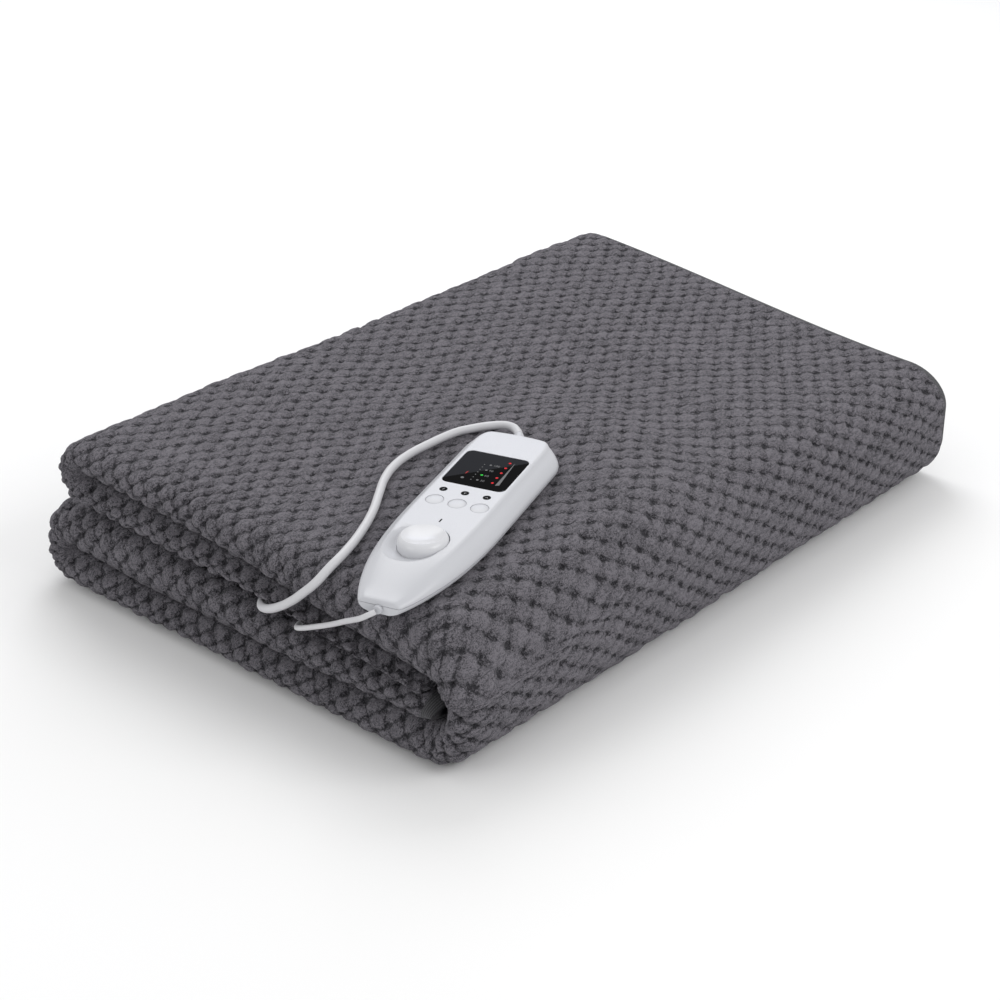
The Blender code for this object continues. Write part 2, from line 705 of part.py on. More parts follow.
def make_plug(parts):
    """A flat two-pin plug lying beside the coil, its pins away from the lead."""
    rings = []
    for row in PLUG_SECTIONS:
        ring = []
        for i in range(16):
            angle = math.tau * i / 16
            power = row["square"]
            c, s = math.cos(angle), math.sin(angle)
            x = row["width"] / 2 * math.copysign(abs(c) ** power, c)
            z = row["height"] / 2 * math.copysign(abs(s) ** power, s)
            ring.append((x, row["along"], z))
        rings.append(ring)
    body = finish_mesh("plug_body", loft(rings), parts, white_plastic())
    body.location = (PLUG_PLACE - ORIGIN) * MM
    length = PLUG_SECTIONS[-1]["along"]
    for name, side in (("plug_pin_left", -1), ("plug_pin_right", 1)):
        pin = disc(name, parts, PIN_SIZE["radius"], PIN_SIZE["length"], 16)
        pin.data.materials[0] = material("pin_nickel", (0.75, 0.73, 0.68), 0.25, 1.0)
        turn = Matrix.Rotation(math.radians(-90), 4, "X")
        at = PLUG_PLACE + Vector((side * PIN_SIZE["spacing"] / 2, length + SEAT, 0.0))
        pin.matrix_world = Matrix.Translation((at - ORIGIN) * MM) @ turn


def white_plastic():
    return material("white_plastic", (0.82, 0.83, 0.85), 0.35)


def main():
    for leftover in list(bpy.data.objects):
        bpy.data.objects.remove(leftover, do_unlink=True)
    parts = bpy.data.collections.new("heated_blanket")
    cutters = bpy.data.collections.new("cutters")
    bpy.context.scene.collection.children.link(parts)
    bpy.context.scene.collection.children.link(cutters)
    frame = handset_frame()
    make_blanket(parts)
    make_base_shell(parts, frame)
    make_top_shell(parts, cutters, frame)
    window_block("handset_window", parts, frame, 0.0, WINDOW_DEPTH, 0.0)
    make_buttons(parts, frame)
    make_knob(parts, cutters, frame)
    make_nose_gland(parts, frame)
    make_leads(parts, frame)
    tie, hollow = make_coil(parts)
    hollow.location = tie.location
    parts.objects.unlink(hollow)
    cutters.objects.link(hollow)
    cut(tie, hollow)
    make_plug(parts)


main()
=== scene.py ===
# %% [markdown]
# # A folded heated blanket with its wired handset
#
# This lesson dresses a plain CAD model of a folded electric blanket. The solids
# give every size and place, and the cells below add what a plain model lacks:
# puffed fleece, moulded plastic, a glossy display and smooth leads.
# Blender works in metres, with +Z up. The CAD's numbers are in millimetres from
# the stack's left front corner, so two lines turn one into the other.

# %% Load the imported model
import math

import bmesh
import bpy
import numpy as np
from mathutils import Euler, Matrix, Vector

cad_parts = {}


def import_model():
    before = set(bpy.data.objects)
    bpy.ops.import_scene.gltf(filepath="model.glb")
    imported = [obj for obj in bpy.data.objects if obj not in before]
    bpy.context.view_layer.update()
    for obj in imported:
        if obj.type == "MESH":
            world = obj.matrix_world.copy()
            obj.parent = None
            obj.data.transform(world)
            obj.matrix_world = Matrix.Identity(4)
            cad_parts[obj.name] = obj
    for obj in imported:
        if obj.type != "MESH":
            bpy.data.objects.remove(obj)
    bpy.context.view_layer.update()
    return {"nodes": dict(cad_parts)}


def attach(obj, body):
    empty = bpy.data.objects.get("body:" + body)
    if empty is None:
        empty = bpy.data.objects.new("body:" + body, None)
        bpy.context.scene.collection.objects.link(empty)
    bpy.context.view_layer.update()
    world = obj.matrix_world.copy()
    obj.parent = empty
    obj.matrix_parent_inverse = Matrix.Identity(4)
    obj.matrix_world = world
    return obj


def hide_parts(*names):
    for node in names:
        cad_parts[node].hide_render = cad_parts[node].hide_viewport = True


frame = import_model()

MM = 0.001
STACK_X, STACK_Y = 366.0, 503.0
NOSE_OVERHANG = 12.25
ORIGIN = Vector((STACK_X / 2, (STACK_Y - NOSE_OVERHANG) / 2, 0.0))


def world(points):
    """Points of the stack, in millimetres, as points of the scene."""
    return (np.asarray(points, float) - np.array(ORIGIN)) * MM


# %% [markdown]
# ## The camera
#
# The photograph looks down on the right front corner of the stack. A long lens
# stands well back, so the far edge is only a little shorter than the near one.
# The camera comes first because every later choice is judged through it.

# %% Camera
bpy.ops.object.select_all(action="DESELECT")
bpy.ops.object.camera_add(location=(0.807, -0.938975, 0.666))
camera = bpy.context.object
camera.rotation_euler = (math.radians(62.5), 0.0, math.radians(40.9))
camera.data.lens = 75.6
camera.data.sensor_width = 36.0
bpy.context.scene.camera = camera
print("camera at", tuple(round(v, 3) for v in camera.location))

# %% [markdown]
# ## Materials from small expressions
#
# A node material is a drawing of arithmetic, and long drawings are hard to read
# in code. The class below wraps one output socket, so that `a * 0.5 + b` adds
# the Math nodes by itself. A second class holds a material and adds any other
# node with one call: its type, its settings, then the values of its sockets.


# %% The socket and finish classes
class Signal:
    """One number that varies over a surface, ready for arithmetic."""

    def __init__(self, tree, socket):
        self.tree, self.socket = tree, socket

    def maths(self, operation, *others, clamp=False):
        node = self.tree.nodes.new("ShaderNodeMath")
        node.operation, node.use_clamp = operation, clamp
        for slot, value in zip(node.inputs, (self, *others)):
            plug_in(self.tree, slot, value)
        return Signal(self.tree, node.outputs[0])

    def __add__(self, other):
        return self.maths("ADD", other)

    def __sub__(self, other):
        return self.maths("SUBTRACT", other)

    def __rsub__(self, other):
        return self.maths("MULTIPLY", -1.0).maths("ADD", other)

    def __mul__(self, other):
        return self.maths("MULTIPLY", other)

    def __pow__(self, other):
        return self.maths("POWER", other)

    __radd__, __rmul__ = __add__, __mul__

    def clamped(self):
        return self.maths("ADD", 0.0, clamp=True)


def plug_in(tree, slot, value):
    """Links a signal to a socket, or sets the socket to a plain value."""
    if isinstance(value, Signal):
        tree.links.new(value.socket, slot)
    else:
        slot.default_value = value


class Finish:
    """A material with one Principled shader, and the nodes that feed it."""

    def __init__(self, name, **constants):
        self.material = bpy.data.materials.new(name)
        self.material.use_nodes = True
        self.tree = self.material.node_tree
        self.shader = self.tree.nodes["Principled BSDF"]
        self.feed(**constants)

    def node(self, kind, settings=None, inputs=None, output=0):
        node = self.tree.nodes.new(kind)
        for name, value in (settings or {}).items():
            setattr(node, name, value)
        for name, value in (inputs or {}).items():
            plug_in(self.tree, node.inputs[name], value)
        return Signal(self.tree, node.outputs[output])

    def place(self, scale=(1.0, 1.0, 1.0), turn=(0.0, 0.0, 0.0)):
        """Object coordinates, stretched and turned by a Mapping node."""
        at = self.node("ShaderNodeTexCoord", output="Object")
        values = {"Vector": at, "Scale": scale, "Rotation": turn}
        return self.node("ShaderNodeMapping", None, values)

    def noise(self, scale, detail=2.0, roughness=0.5, vector=None, distortion=0.0):
        values = {"Vector": vector or self.place(), "Scale": scale, "Detail": detail}
        values |= {"Roughness": roughness, "Distortion": distortion}
        return self.node("ShaderNodeTexNoise", None, values)

    def attribute(self, name, output):
        """A value that the mesh carries at each of its points."""
        return self.node("ShaderNodeAttribute", {"attribute_name": name}, None, output)

    def vectors(self, operation, *values):
        """A sum on whole vectors, which a Math node can't do."""
        settings = {"operation": operation}
        return self.node("ShaderNodeVectorMath", settings, dict(enumerate(values)))

    def axis(self, vector, name):
        return self.node("ShaderNodeSeparateXYZ", None, {"Vector": vector}, name)

    def blend(self, share, first, second):
        """A colour between two, by a signal from 0 to 1."""
        node = self.tree.nodes.new("ShaderNodeMix")
        node.data_type = "RGBA"
        plug_in(self.tree, node.inputs[0], share)
        plug_in(self.tree, node.inputs[6], first)
        plug_in(self.tree, node.inputs[7], second)
        return Signal(self.tree, node.outputs[2])

    def bump(self, height, distance, strength=1.0):
        values = {"Height": height, "Distance": distance, "Strength": strength}
        return self.node("ShaderNodeBump", None, values)

    def feed(self, **values):
        """Sets the shader's sockets; Base_Color stands for Base Color."""
        for name, value in values.items():
            plug_in(self.tree, self.shader.inputs[name.replace("_", " ")], value)


def paint(piece, finish):
    """Gives a piece this finish and no other."""
    piece.data.materials.clear()
    piece.data.materials.append(finish.material)


print("classes ready")

# %% [markdown]
# ## White plastic
#
# The handset, the plug and the leads are the same cool white plastic. Moulded
# plastic is never one flat colour: it has a faint grain that breaks up its
# gloss. A fine noise varies roughness, and a still finer one gives the bump.
# The leads are softer and a little more matt, so they get a finish of their own.
# The knob is the same plastic with a smoother finish, and its colour is painted
# lighter than the shell's: painted light, for the light that falls on its gloss.


# %% White finishes
def white_finish(name, colour, roughness, grain, depth):
    finish = Finish(name, IOR=1.46)
    cloud = finish.noise(18.0, 3.0)
    speck = finish.noise(grain, 2.0)
    shade = tuple(c * 0.955 for c in colour)
    finish.feed(Base_Color=finish.blend(cloud, (*shade, 1.0), (*colour, 1.0)))
    finish.feed(Roughness=(speck * 0.16 + roughness - 0.08).clamped())
    finish.feed(Normal=finish.bump(speck, depth, 0.5))
    return finish


shell_white = white_finish("moulded_white", (0.53, 0.537, 0.567), 0.3, 2600.0, 0.00003)
# The knob's white is painted lighter than the shell's, as painted light for the light that its
# gloss catches
knob_white_painted_light = white_finish("knob_white_painted_light", (0.63, 0.635, 0.66), 0.2, 2600.0, 0.00003)
cord_white = white_finish("cord_white", (0.58, 0.58, 0.60), 0.42, 1400.0, 0.00004)
print("white finishes ready")

# %% [markdown]
# ## The mains lead
#
# A lead is a tube along a line, so a Bezier curve with a bevel is the right
# tool: the line stays editable and the tube stays round. The points come from
# the CAD route: out of the handset's far end, round, along the top, over the
# front fold, in between the two halves of the stack and out at the left side.
# The rest is put away as a neat flat coil of two layers. The coil's turns lie a
# diameter apart and step in or out in the same sector, as wound cord does.

# %% The route of the mains lead
MAINS = 5.2
MAINS_ROUTE = [
    (248.9, 179.4, 114.0), (245.6, 182.6, 113.4), (241.6, 185.8, 112.7), (236.4, 189.0, 111.8),
    (231.0, 190.4, 110.9), (226.0, 189.6, 110.1), (221.4, 186.4, 109.5), (217.0, 181.2, 109.1),
    (213.2, 174.8, 108.8), (210.2, 168.6, 108.6), (208.4, 161.6, 108.2), (206.7, 144.8, 107.5),
    (206.1, 128.5, 106.7), (208.6, 112.8, 106.0), (215.3, 97.1, 105.5), (226.0, 80.8, 104.9),
    (237.1, 64.3, 104.2), (248.4, 42.8, 103.2),
    (257.3, 20.3, 102.3), (259.0, 7.0, 99.2), (257.0, -1.6, 93.0), (249.6, -4.0, 85.0),
    (237.6, -3.8, 74.2), (225.4, -3.6, 65.6), (215.0, -2.0, 60.2), (206.0, 2.6, 57.0),
    (199.2, 11.0, 55.2), (192.6, 26.0, 53.8), (184.0, 50.0, 54.2), (167.0, 78.0, 54.8),
    (142.0, 106.0, 55.2),
    (108.0, 134.0, 55.3), (70.0, 160.0, 55.2), (30.0, 185.0, 55.6),
    (11.5, 194.5, 53.4), (1.0, 200.5, 43.4), (-3.8, 204.6, 29.5), (-7.6, 208.0, 17.5),
    (-15.0, 211.6, 8.4), (-26.0, 214.3, 4.6), (-42.4, 215.5, 3.9),
]
COIL_CENTRE = (-62.0, 249.0)
COIL_RADII = (33.8, 28.6, 23.4, 23.4, 28.6, 33.8)
COIL_HEIGHTS = (3.9, 3.9, 3.9, 9.1, 9.1, 9.1)
COIL_TURNS, STEPS_FROM = 5.25, 0.82
TAIL = [(-95.9, 282.0, 8.2), (-95.6, 294.0, 7.4), (-95.4, 306.0, 7.0)]


def ease(value):
    value = np.clip(value, 0.0, 1.0)
    return value * value * (3.0 - 2.0 * value)


def mix(first, second, share):
    return first + (second - first) * share


def on_circle(centre, radius, angle):
    return centre[0] + radius * math.cos(angle), centre[1] + radius * math.sin(angle)


def coil_points(per_turn=16):
    """Points of the wound cord, from its entry at the front, clockwise."""
    points = []
    for i in range(round(COIL_TURNS * per_turn) + 1):
        turn = i / per_turn
        whole = int(turn)
        share = float(ease((turn - whole - STEPS_FROM) / (1.0 - STEPS_FROM)))
        following = min(whole + 1, len(COIL_RADII) - 1)
        radius = mix(COIL_RADII[whole], COIL_RADII[following], share)
        height = mix(COIL_HEIGHTS[whole], COIL_HEIGHTS[following], share)
        angle = math.radians(-90.0 - 360.0 * turn)
        points.append((*on_circle(COIL_CENTRE, radius, angle), height))
    return points


def lead(name, points, size, finish):
    """A round lead along one smooth spline, with its ends closed."""
    line = bpy.data.curves.new(name, "CURVE")
    line.dimensions = "3D"
    line.resolution_u = 6
    line.bevel_depth = size / 2 * MM
    line.bevel_resolution = 5
    line.use_fill_caps = True
    spline = line.splines.new("BEZIER")
    spline.bezier_points.add(len(points) - 1)
    for knot, place in zip(spline.bezier_points, world(points)):
        knot.co = place
        knot.handle_left_type = knot.handle_right_type = "AUTO"
    made = bpy.data.objects.new(name, line)
    bpy.context.scene.collection.objects.link(made)
    paint(made, finish)
    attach(made, "blanket_and_leads")
    return made


mains_points = MAINS_ROUTE + coil_points() + TAIL
mains_lead = lead("mains_lead", mains_points, MAINS, cord_white)
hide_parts("mains_cord", "mains_cord_coil", "mains_cord_tail")
print("mains lead:", len(mains_points), "points")

# %% [markdown]
# ## The thin lead to the blanket
#
# A second, thinner lead leaves the handset's nose and runs into the gap between
# the halves, where it joins the heating wires inside the cloth. It is made the
# same way, with fewer points.

# %% The thin lead
THIN = 3.2
THIN_ROUTE = [
    (312.6, -12.4, 100.3), (310.4, -15.2, 98.9), (305.6, -15.8, 95.4), (298.6, -13.4, 90.6),
    (286.0, -9.2, 82.6), (271.0, -5.0, 73.0), (256.0, -3.8, 65.0), (243.6, -3.0, 59.0),
    (236.0, 1.6, 55.0), (232.0, 11.6, 53.4), (231.6, 22.0, 52.8), (236.6, 38.0, 52.6),
    (249.0, 58.0, 52.2), (268.0, 76.0, 51.8), (290.0, 90.0, 51.5),
]
thin_lead = lead("thin_lead", THIN_ROUTE, THIN, cord_white)
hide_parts("blanket_cord")
print("thin lead:", len(THIN_ROUTE), "points")


def line_length(piece):
    """The length of a lead's spline, in metres."""
    return sum(s.calc_length() for s in piece.data.splines)


print("lengths:", round(line_length(mains_lead), 3), round(line_length(thin_lead), 3))

# %% [markdown]
# ## The handset's frame
#
# The handset lies on the stack, turned and slightly tilted. Its own numbers are
# simple: X across, Y from the nose to the far end, Z up from its underside. One
# matrix takes those to the scene, and each piece is put through it at the end,
# so that its object stays at the origin. SPLIT is the height of the line between
# the two shells, and GAP the play left there and round a piece in its pocket.

# %% Place of the handset
NOSE = Vector((311.7, -8.8, 97.3))
TURN, TILT = math.radians(16.9), math.radians(2.3)
LENGTH, WIDTH, HEIGHT = 186.0, 61.6, 16.0
SPLIT, GAP = 5.0, 0.3
tilted = Euler((TILT, 0.0, TURN), "XYZ").to_matrix()
handset = Matrix.Translation((NOSE - ORIGIN) * MM) @ tilted.to_4x4()


def clear_selection():
    bpy.ops.object.select_all(action="DESELECT")


def named(name):
    """The active object, renamed, with its scale and turn in its mesh."""
    made = bpy.context.object
    made.name = made.data.name = name
    bpy.ops.object.transform_apply(location=True, rotation=True, scale=True)
    return made


def pick(piece):
    """Selects one piece and no other."""
    clear_selection()
    bpy.context.view_layer.objects.active = piece
    piece.select_set(True)


def edit(piece, mode="VERT"):
    """Opens one piece for editing, with nothing selected."""
    pick(piece)
    bpy.ops.object.mode_set(mode="EDIT")
    bpy.ops.mesh.select_mode(type=mode)
    bpy.ops.mesh.select_all(action="DESELECT")


def done():
    bpy.ops.object.mode_set(mode="OBJECT")


def settle(piece, body, finish, matrix=handset, degrees=32.0):
    """Moves a finished mesh to its place and hands it to its CAD body."""
    piece.data.transform(matrix)
    paint(piece, finish)
    pick(piece)
    bpy.ops.object.shade_smooth_by_angle(angle=math.radians(degrees))
    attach(piece, body)


print("the handset's nose is at", tuple(round(v, 4) for v in handset.translation))

# %% [markdown]
# ## Extruding through rings
#
# Most of the hard pieces change their outline along one direction. By hand they
# are made by extruding a circle's edge and setting it to the next outline, over
# and over, and the helper does just that. A loft of curves would do it too, but
# extruding keeps each ring where it was measured.


# %% The ring helper
def extruded(name, rings):
    """A closed body through rings of equally many points, in millimetres."""
    count = len(rings[0])
    clear_selection()
    bpy.ops.mesh.primitive_circle_add(vertices=count, radius=0.01, fill_type="NOTHING")
    made = named(name)
    for corner, place in zip(made.data.vertices, rings[0]):
        corner.co = Vector(place) * MM
    edit(made)
    bpy.ops.mesh.select_all(action="SELECT")
    number = {i: i for i in range(count)}
    for ring in rings[1:]:
        bpy.ops.mesh.extrude_edges_move()
        mesh = bmesh.from_edit_mesh(made.data)
        mesh.verts.ensure_lookup_table()
        following = {}
        for corner in mesh.verts:
            if corner.select:
                for edge in corner.link_edges:
                    other = edge.other_vert(corner)
                    if not other.select and other.index in number:
                        following[corner.index] = number[other.index]
        for index, place in following.items():
            mesh.verts[index].co = Vector(ring[place]) * MM
        number = following
        bmesh.update_edit_mesh(made.data)
    bpy.ops.mesh.edge_face_add()
    bpy.ops.mesh.select_all(action="DESELECT")
    bpy.ops.mesh.select_non_manifold()
    bpy.ops.mesh.edge_face_add()
    bpy.ops.mesh.select_all(action="SELECT")
    bpy.ops.mesh.normals_make_consistent(inside=False)
    done()
    return made


def round_rings(profile, count, across=0.0, along=0.0, height=0.0):
    """Rings of a turned body, from its (radius, height) profile."""
    angles = [math.tau * i / count for i in range(count)]
    return [
        [(*on_circle((across, along), radius, a), height + rise) for a in angles]
        for radius, rise in profile
    ]


def carve(piece, cutter):
    """Takes one shape out of another, then throws the cutter away."""
    pick(piece)
    taken = piece.modifiers.new("carve", "BOOLEAN")
    taken.operation, taken.solver, taken.object = "DIFFERENCE", "EXACT", cutter
    bpy.ops.object.modifier_apply(modifier=taken.name)
    bpy.data.objects.remove(cutter, do_unlink=True)


print("ring helper ready")

# %% [markdown]
# ## The two shells
#
# The case is two moulded shells that meet in a line low on the sides. Seen from
# above it swells from a narrow nose to straight sides. Seen along its length,
# the top shell is a wide slope up to a flat plate with a soft crease. Each shell
# has a section of its own, and both share one outline, so that they meet all
# round. The far end bulges a little.

# %% How wide and high the case is
PLATE_SHARE, PLATE_DRAWN = 0.74, 0.64
NOSE_HALF, NOSE_TAPER, NOSE_SWELL, NOSE_FLARE = 12.2, 98.4, 2.48, 0.89
NOSE_HEIGHT, NOSE_DROP, NOSE_ROUND = 8.5, 45.0, 1.2
END_BULGE, END_BOW, BULGE_FROM = 1.0, 4.0, 0.85


def half_width(along):
    share = min(along / NOSE_TAPER, 1.0)
    swell = (1.0 - (1.0 - share) ** NOSE_SWELL) ** NOSE_FLARE
    return NOSE_HALF + (WIDTH / 2 - NOSE_HALF) * swell


def top_of(along):
    share = min(along / NOSE_DROP, 1.0)
    return NOSE_HEIGHT + (HEIGHT - NOSE_HEIGHT) * math.sin(share * math.pi / 2) ** NOSE_ROUND


def behind(across, along):
    """How far the bulged far end stands behind a straight one."""
    share = float(ease((along / LENGTH - BULGE_FROM) / (1.0 - BULGE_FROM)))
    return (END_BULGE - END_BOW * (across / (WIDTH / 2)) ** 2) * share


print("the nose is", 2 * half_width(0.0), "mm wide and", top_of(0.0), "mm high")


# %% Sections of the shells
def rounded(points, passes=2):
    """A line with its inner corners cut twice, which rounds them."""
    for _ in range(passes):
        cut = [points[0]]
        for (x, z), (u, w) in zip(points, points[1:]):
            for a, b in ((0.75, 0.25), (0.25, 0.75)):
                cut.append((x * a + u * b, z * a + w * b))
        points = cut + [points[-1]]
    return points


def base_side(along, shrink, drop):
    """The right half of the base shell's section, which the top's drop leaves alone."""
    half = half_width(along) - shrink
    return rounded([(half - 5.5, 0.0), (half - 2.0, 1.2), (half - 0.4, 3.0), (half, SPLIT)])


def top_side(along, shrink, drop):
    """The right half of the top shell's section, from its rim to the plate."""
    half, top = half_width(along) - shrink, top_of(along) - drop
    plate, low = half_width(along) * PLATE_SHARE - PLATE_DRAWN * shrink, SPLIT + GAP
    rise, lip = top - low, min(1.6, (half - plate) * 0.2)
    slope = [
        (half, low), (half - 0.05 * (half - plate), low + 0.2 * rise),
        (mix(half, plate, 0.42), low + 0.56 * rise),
        (plate + lip, top - 0.24 * rise), (plate, top - 0.065 * rise),
    ]
    crown = [(plate - 0.6, top - 0.03 * rise), (plate - 1.6, top - 0.01), (plate - 3.0, top)]
    section = rounded(slope) + rounded(crown, 1) + [(plate * 0.5, top), (plate * 0.2, top)]
    # The nose is one round hood, which passes into slope and plate behind it
    hood = float(ease(along / 16.0 + 0.3) * (1.0 - ease((along - 22.0) / 50.0)))
    return [(x, mix(z, low + rise * (1.0 - (x / half) ** 2.4) ** 0.5, hood)) for x, z in section]


print("half a section of the top shell:", len(top_side(LENGTH / 2, 0.0, 0.0)), "points")


# %% Make the shells
def stations():
    """Places along the case: how far its sides are drawn in there, and its top down."""
    nose = [(0.0, 0.7, 0.5), (0.25, 0.3, 0.2), (0.8, 0.0, 0.0), (2.6, 0.0, 0.0)]
    middle = [(5.0 + i * 2.4, 0.0, 0.0) for i in range(40)]
    even = [(101.0 + i * 6.0, 0.0, 0.0) for i in range(12)]
    end = [
        (171.5, 0.0, 0.0), (174.5, 0.2, 0.0), (177.2, 0.6, 0.0), (179.6, 1.2, 0.0),
        (181.6, 2.1, 0.0), (183.2, 3.3, 0.0), (184.4, 4.8, 0.0), (185.2, 6.4, 0.12),
        (185.7, 7.9, 0.35), (LENGTH, 9.2, 0.8),
    ]
    return nose + middle + even + end


def shell(name, side):
    rings = []
    for along, shrink, drop in stations():
        right = side(along, shrink, drop)
        ring = right + [(-x, z) for x, z in reversed(right)]
        rings.append([(x, along + behind(x, along), z) for x, z in ring])
    return extruded(name, rings)


base_shell = shell("base_shell_white", base_side)
settle(base_shell, "blanket_and_leads", shell_white)
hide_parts("handset_base_shell")
top_shell = shell("top_shell_white", top_side)
print("shells:", len(base_shell.data.polygons), "and", len(top_shell.data.polygons), "faces")

# %% [markdown]
# ## Pockets in the top shell
#
# The window, the three buttons and the knob sit in pockets. Each cutter is the
# piece's own outline with a small gap round it, taken out with a Boolean. Under
# the knob the pocket is a dish, and a large ball scoops a crescent beside it
# for the fingertip.

# %% Cut the pockets
WINDOW = {"wide": 39.6, "long": 40.2, "along": 138.7, "corner": 4.0, "deep": 1.2}
BUTTON_ACROSS = {"button_left": -13.2, "button_middle": 0.8, "button_right": 14.8}
BUTTON_ROW, BUTTON_RIM, BUTTON_POCKET = 97.5, 5.3, 6.8
KNOB_ACROSS, KNOB_ALONG = 0.2, 54.6
BALL_RADIUS, BALL_AT = 36.4, (-4.6, KNOB_ALONG - 6.8, HEIGHT + 31.0)


def slab(name, margin, low, high, bevel=0.0):
    """The window's outline with round corners, between two heights."""
    wide, long = WINDOW["wide"] + 2 * margin, WINDOW["long"] + 2 * margin
    clear_selection()
    place = (0.0, WINDOW["along"] * MM, (low + high) / 2 * MM)
    size = (wide * MM, long * MM, (high - low) * MM)
    bpy.ops.mesh.primitive_cube_add(size=1.0, location=place, scale=size)
    made = named(name)
    edit(made, "EDGE")
    mesh = bmesh.from_edit_mesh(made.data)
    for edge in mesh.edges:
        first, second = (v.co.z for v in edge.verts)
        edge.select_set(abs(first - second) > 1e-5)
    bpy.ops.mesh.bevel(offset=(WINDOW["corner"] + margin) * MM, segments=8)
    if bevel:
        bpy.ops.mesh.select_all(action="DESELECT")
        mesh = bmesh.from_edit_mesh(made.data)
        for edge in mesh.edges:
            edge.select_set(all(v.co.z > (high - 0.01) * MM for v in edge.verts))
        bpy.ops.mesh.bevel(offset=bevel * MM, segments=3)
    done()
    return made


def ball(name, radius, at, segments, ring_count):
    """A large ball, which scoops a hollow."""
    clear_selection()
    bpy.ops.mesh.primitive_uv_sphere_add(
        segments=segments, ring_count=ring_count, radius=radius * MM, location=[v * MM for v in at],
    )
    return named(name)


carve(top_shell, slab("window_pocket", GAP, HEIGHT - WINDOW["deep"] - GAP, HEIGHT + 2.0))
wide, fine = BUTTON_RIM + GAP, BUTTON_RIM + 0.08
rim = [(wide, 0.0), (wide, 5.6), (fine, 5.7), (fine, 6.7), (fine + 0.12, 6.82), (fine + 0.12, 9.0)]
for across in BUTTON_ACROSS.values():
    rings = round_rings(rim, 48, across, BUTTON_ROW, HEIGHT - BUTTON_POCKET)
    carve(top_shell, extruded("pocket", rings))
dish = [(14.78, -7.8), (14.8, -1.0), (14.95, 0.0), (15.3, 3.0)]
carve(top_shell, extruded("dish", round_rings(dish, 72, KNOB_ACROSS, KNOB_ALONG, HEIGHT)))
carve(top_shell, ball("ball", BALL_RADIUS, BALL_AT, 96, 64))
settle(top_shell, "blanket_and_leads", shell_white)
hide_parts("handset_top_shell")
print("top shell after the cuts:", len(top_shell.data.polygons), "faces")

# %% [markdown]
# ## The buttons and the knob
#
# The three buttons are low domes, flush with the plate. The knob is a turned
# cap with the side of a large ball taken out of its top, a little towards the
# far end. That leaves a shallow dish with a curved crease near the nose, where
# the finger pushes.

# %% Buttons and knob
BUTTON_CROWN, BUTTON_BOTTOM = 0.5, -3.6
SCOOP_RADIUS, SCOOP_AT = 36.0, (KNOB_ACROSS - 1.2, KNOB_ALONG + 2.2, HEIGHT + 36.7)
KNOB_PROFILE = [
    (14.6, -7.5), (14.6, -1.6), (14.5, -0.7), (14.2, 0.4), (13.7, 1.4), (13.0, 2.2), (12.1, 2.9),
    (11.0, 3.4), (9.5, 3.8), (6.0, 4.1), (3.0, 4.2), (0.3, 4.2),
]


def dome(rim, crown, bottom):
    """A button's profile, from its underside over the rounded rim to its crown."""
    return [
        (rim, bottom), (rim, -0.5), (rim - 0.05, -0.28), (rim - 0.25, -0.1), (rim - 0.6, 0.0),
        (rim * 0.6, crown * 0.6), (rim * 0.3, crown * 0.9), (0.2, crown),
    ]


button_profile = dome(BUTTON_RIM, BUTTON_CROWN, BUTTON_BOTTOM)
for name, across in BUTTON_ACROSS.items():
    rings = round_rings(button_profile, 48, across, BUTTON_ROW, HEIGHT)
    button = extruded(f"{name}_cap", rings)
    settle(button, name, shell_white)
    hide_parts(name)

knob = extruded("knob_cap", round_rings(KNOB_PROFILE, 96, KNOB_ACROSS, KNOB_ALONG, HEIGHT))
carve(knob, ball("finger_scoop", SCOOP_RADIUS, SCOOP_AT, 128, 96))
settle(knob, "heat_knob", knob_white_painted_light)
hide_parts("heat_knob")
print("knob:", len(knob.data.polygons), "faces")

# %% [markdown]
# ## The display
#
# The display is a glossy black pane, level with the plate. A nearly black colour
# on a very smooth face does it, with little mirroring, so that it stays dark. The
# lighter half in the photograph is a studio light mirrored in the pane, which a
# light of our own gives back later. The printed marks and the lamps behind the
# pane are thin tiles just proud of it.

# %% Display pane
glass_black = Finish("display_black", Specular_IOR_Level=0.02)
smear = glass_black.noise(55.0, 3.0)
darkest, dark = (0.0012, 0.0012, 0.0016, 1.0), (0.003, 0.003, 0.0035, 1.0)
glass_black.feed(Base_Color=glass_black.blend(smear, darkest, dark))
glass_black.feed(Roughness=smear * 0.008 + 0.002)
pane = slab("display_pane", 0.0, HEIGHT - WINDOW["deep"], HEIGHT, 0.25)
settle(pane, "blanket_and_leads", glass_black, degrees=15.0)
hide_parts("handset_window")


def lamp_finish(name, colour, glow):
    """A lamp or a printed mark: its finely speckled colour, and its glow."""
    finish = Finish(name, Roughness=0.5, Emission_Strength=glow, Specular_IOR_Level=0.1)
    flicker = finish.noise(900.0, 1.0)
    for socket, share in (("Base_Color", 0.7), ("Emission_Color", 0.8)):
        darker = [c * share for c in colour]
        finish.feed(**{socket: finish.blend(flicker, (*darker, 1.0), (*colour, 1.0))})
    return finish


lamp_red = lamp_finish("lamp_red", (0.55, 0.005, 0.012), 0.4)
lamp_green = lamp_finish("lamp_green", (0.01, 0.42, 0.03), 0.5)
lamp_dim = lamp_finish("lamp_dim_red", (0.25, 0.01, 0.01), 0.5)
print_grey = lamp_finish("print_grey", (0.16, 0.16, 0.165), 0.0)
print("pane and lamps ready")

# %% [markdown]
# ## Lamps and printed marks
#
# Five red lamps stand in a row for the heat, with a wedge beside them that widens
# towards the knob. A green lamp and three unlit ones mark the timer, with its
# minutes beside them. Each mark is a short many-sided disc or a flat tile, made by
# one helper from its numbers, and each numeral is a text object that is turned
# into a mesh.

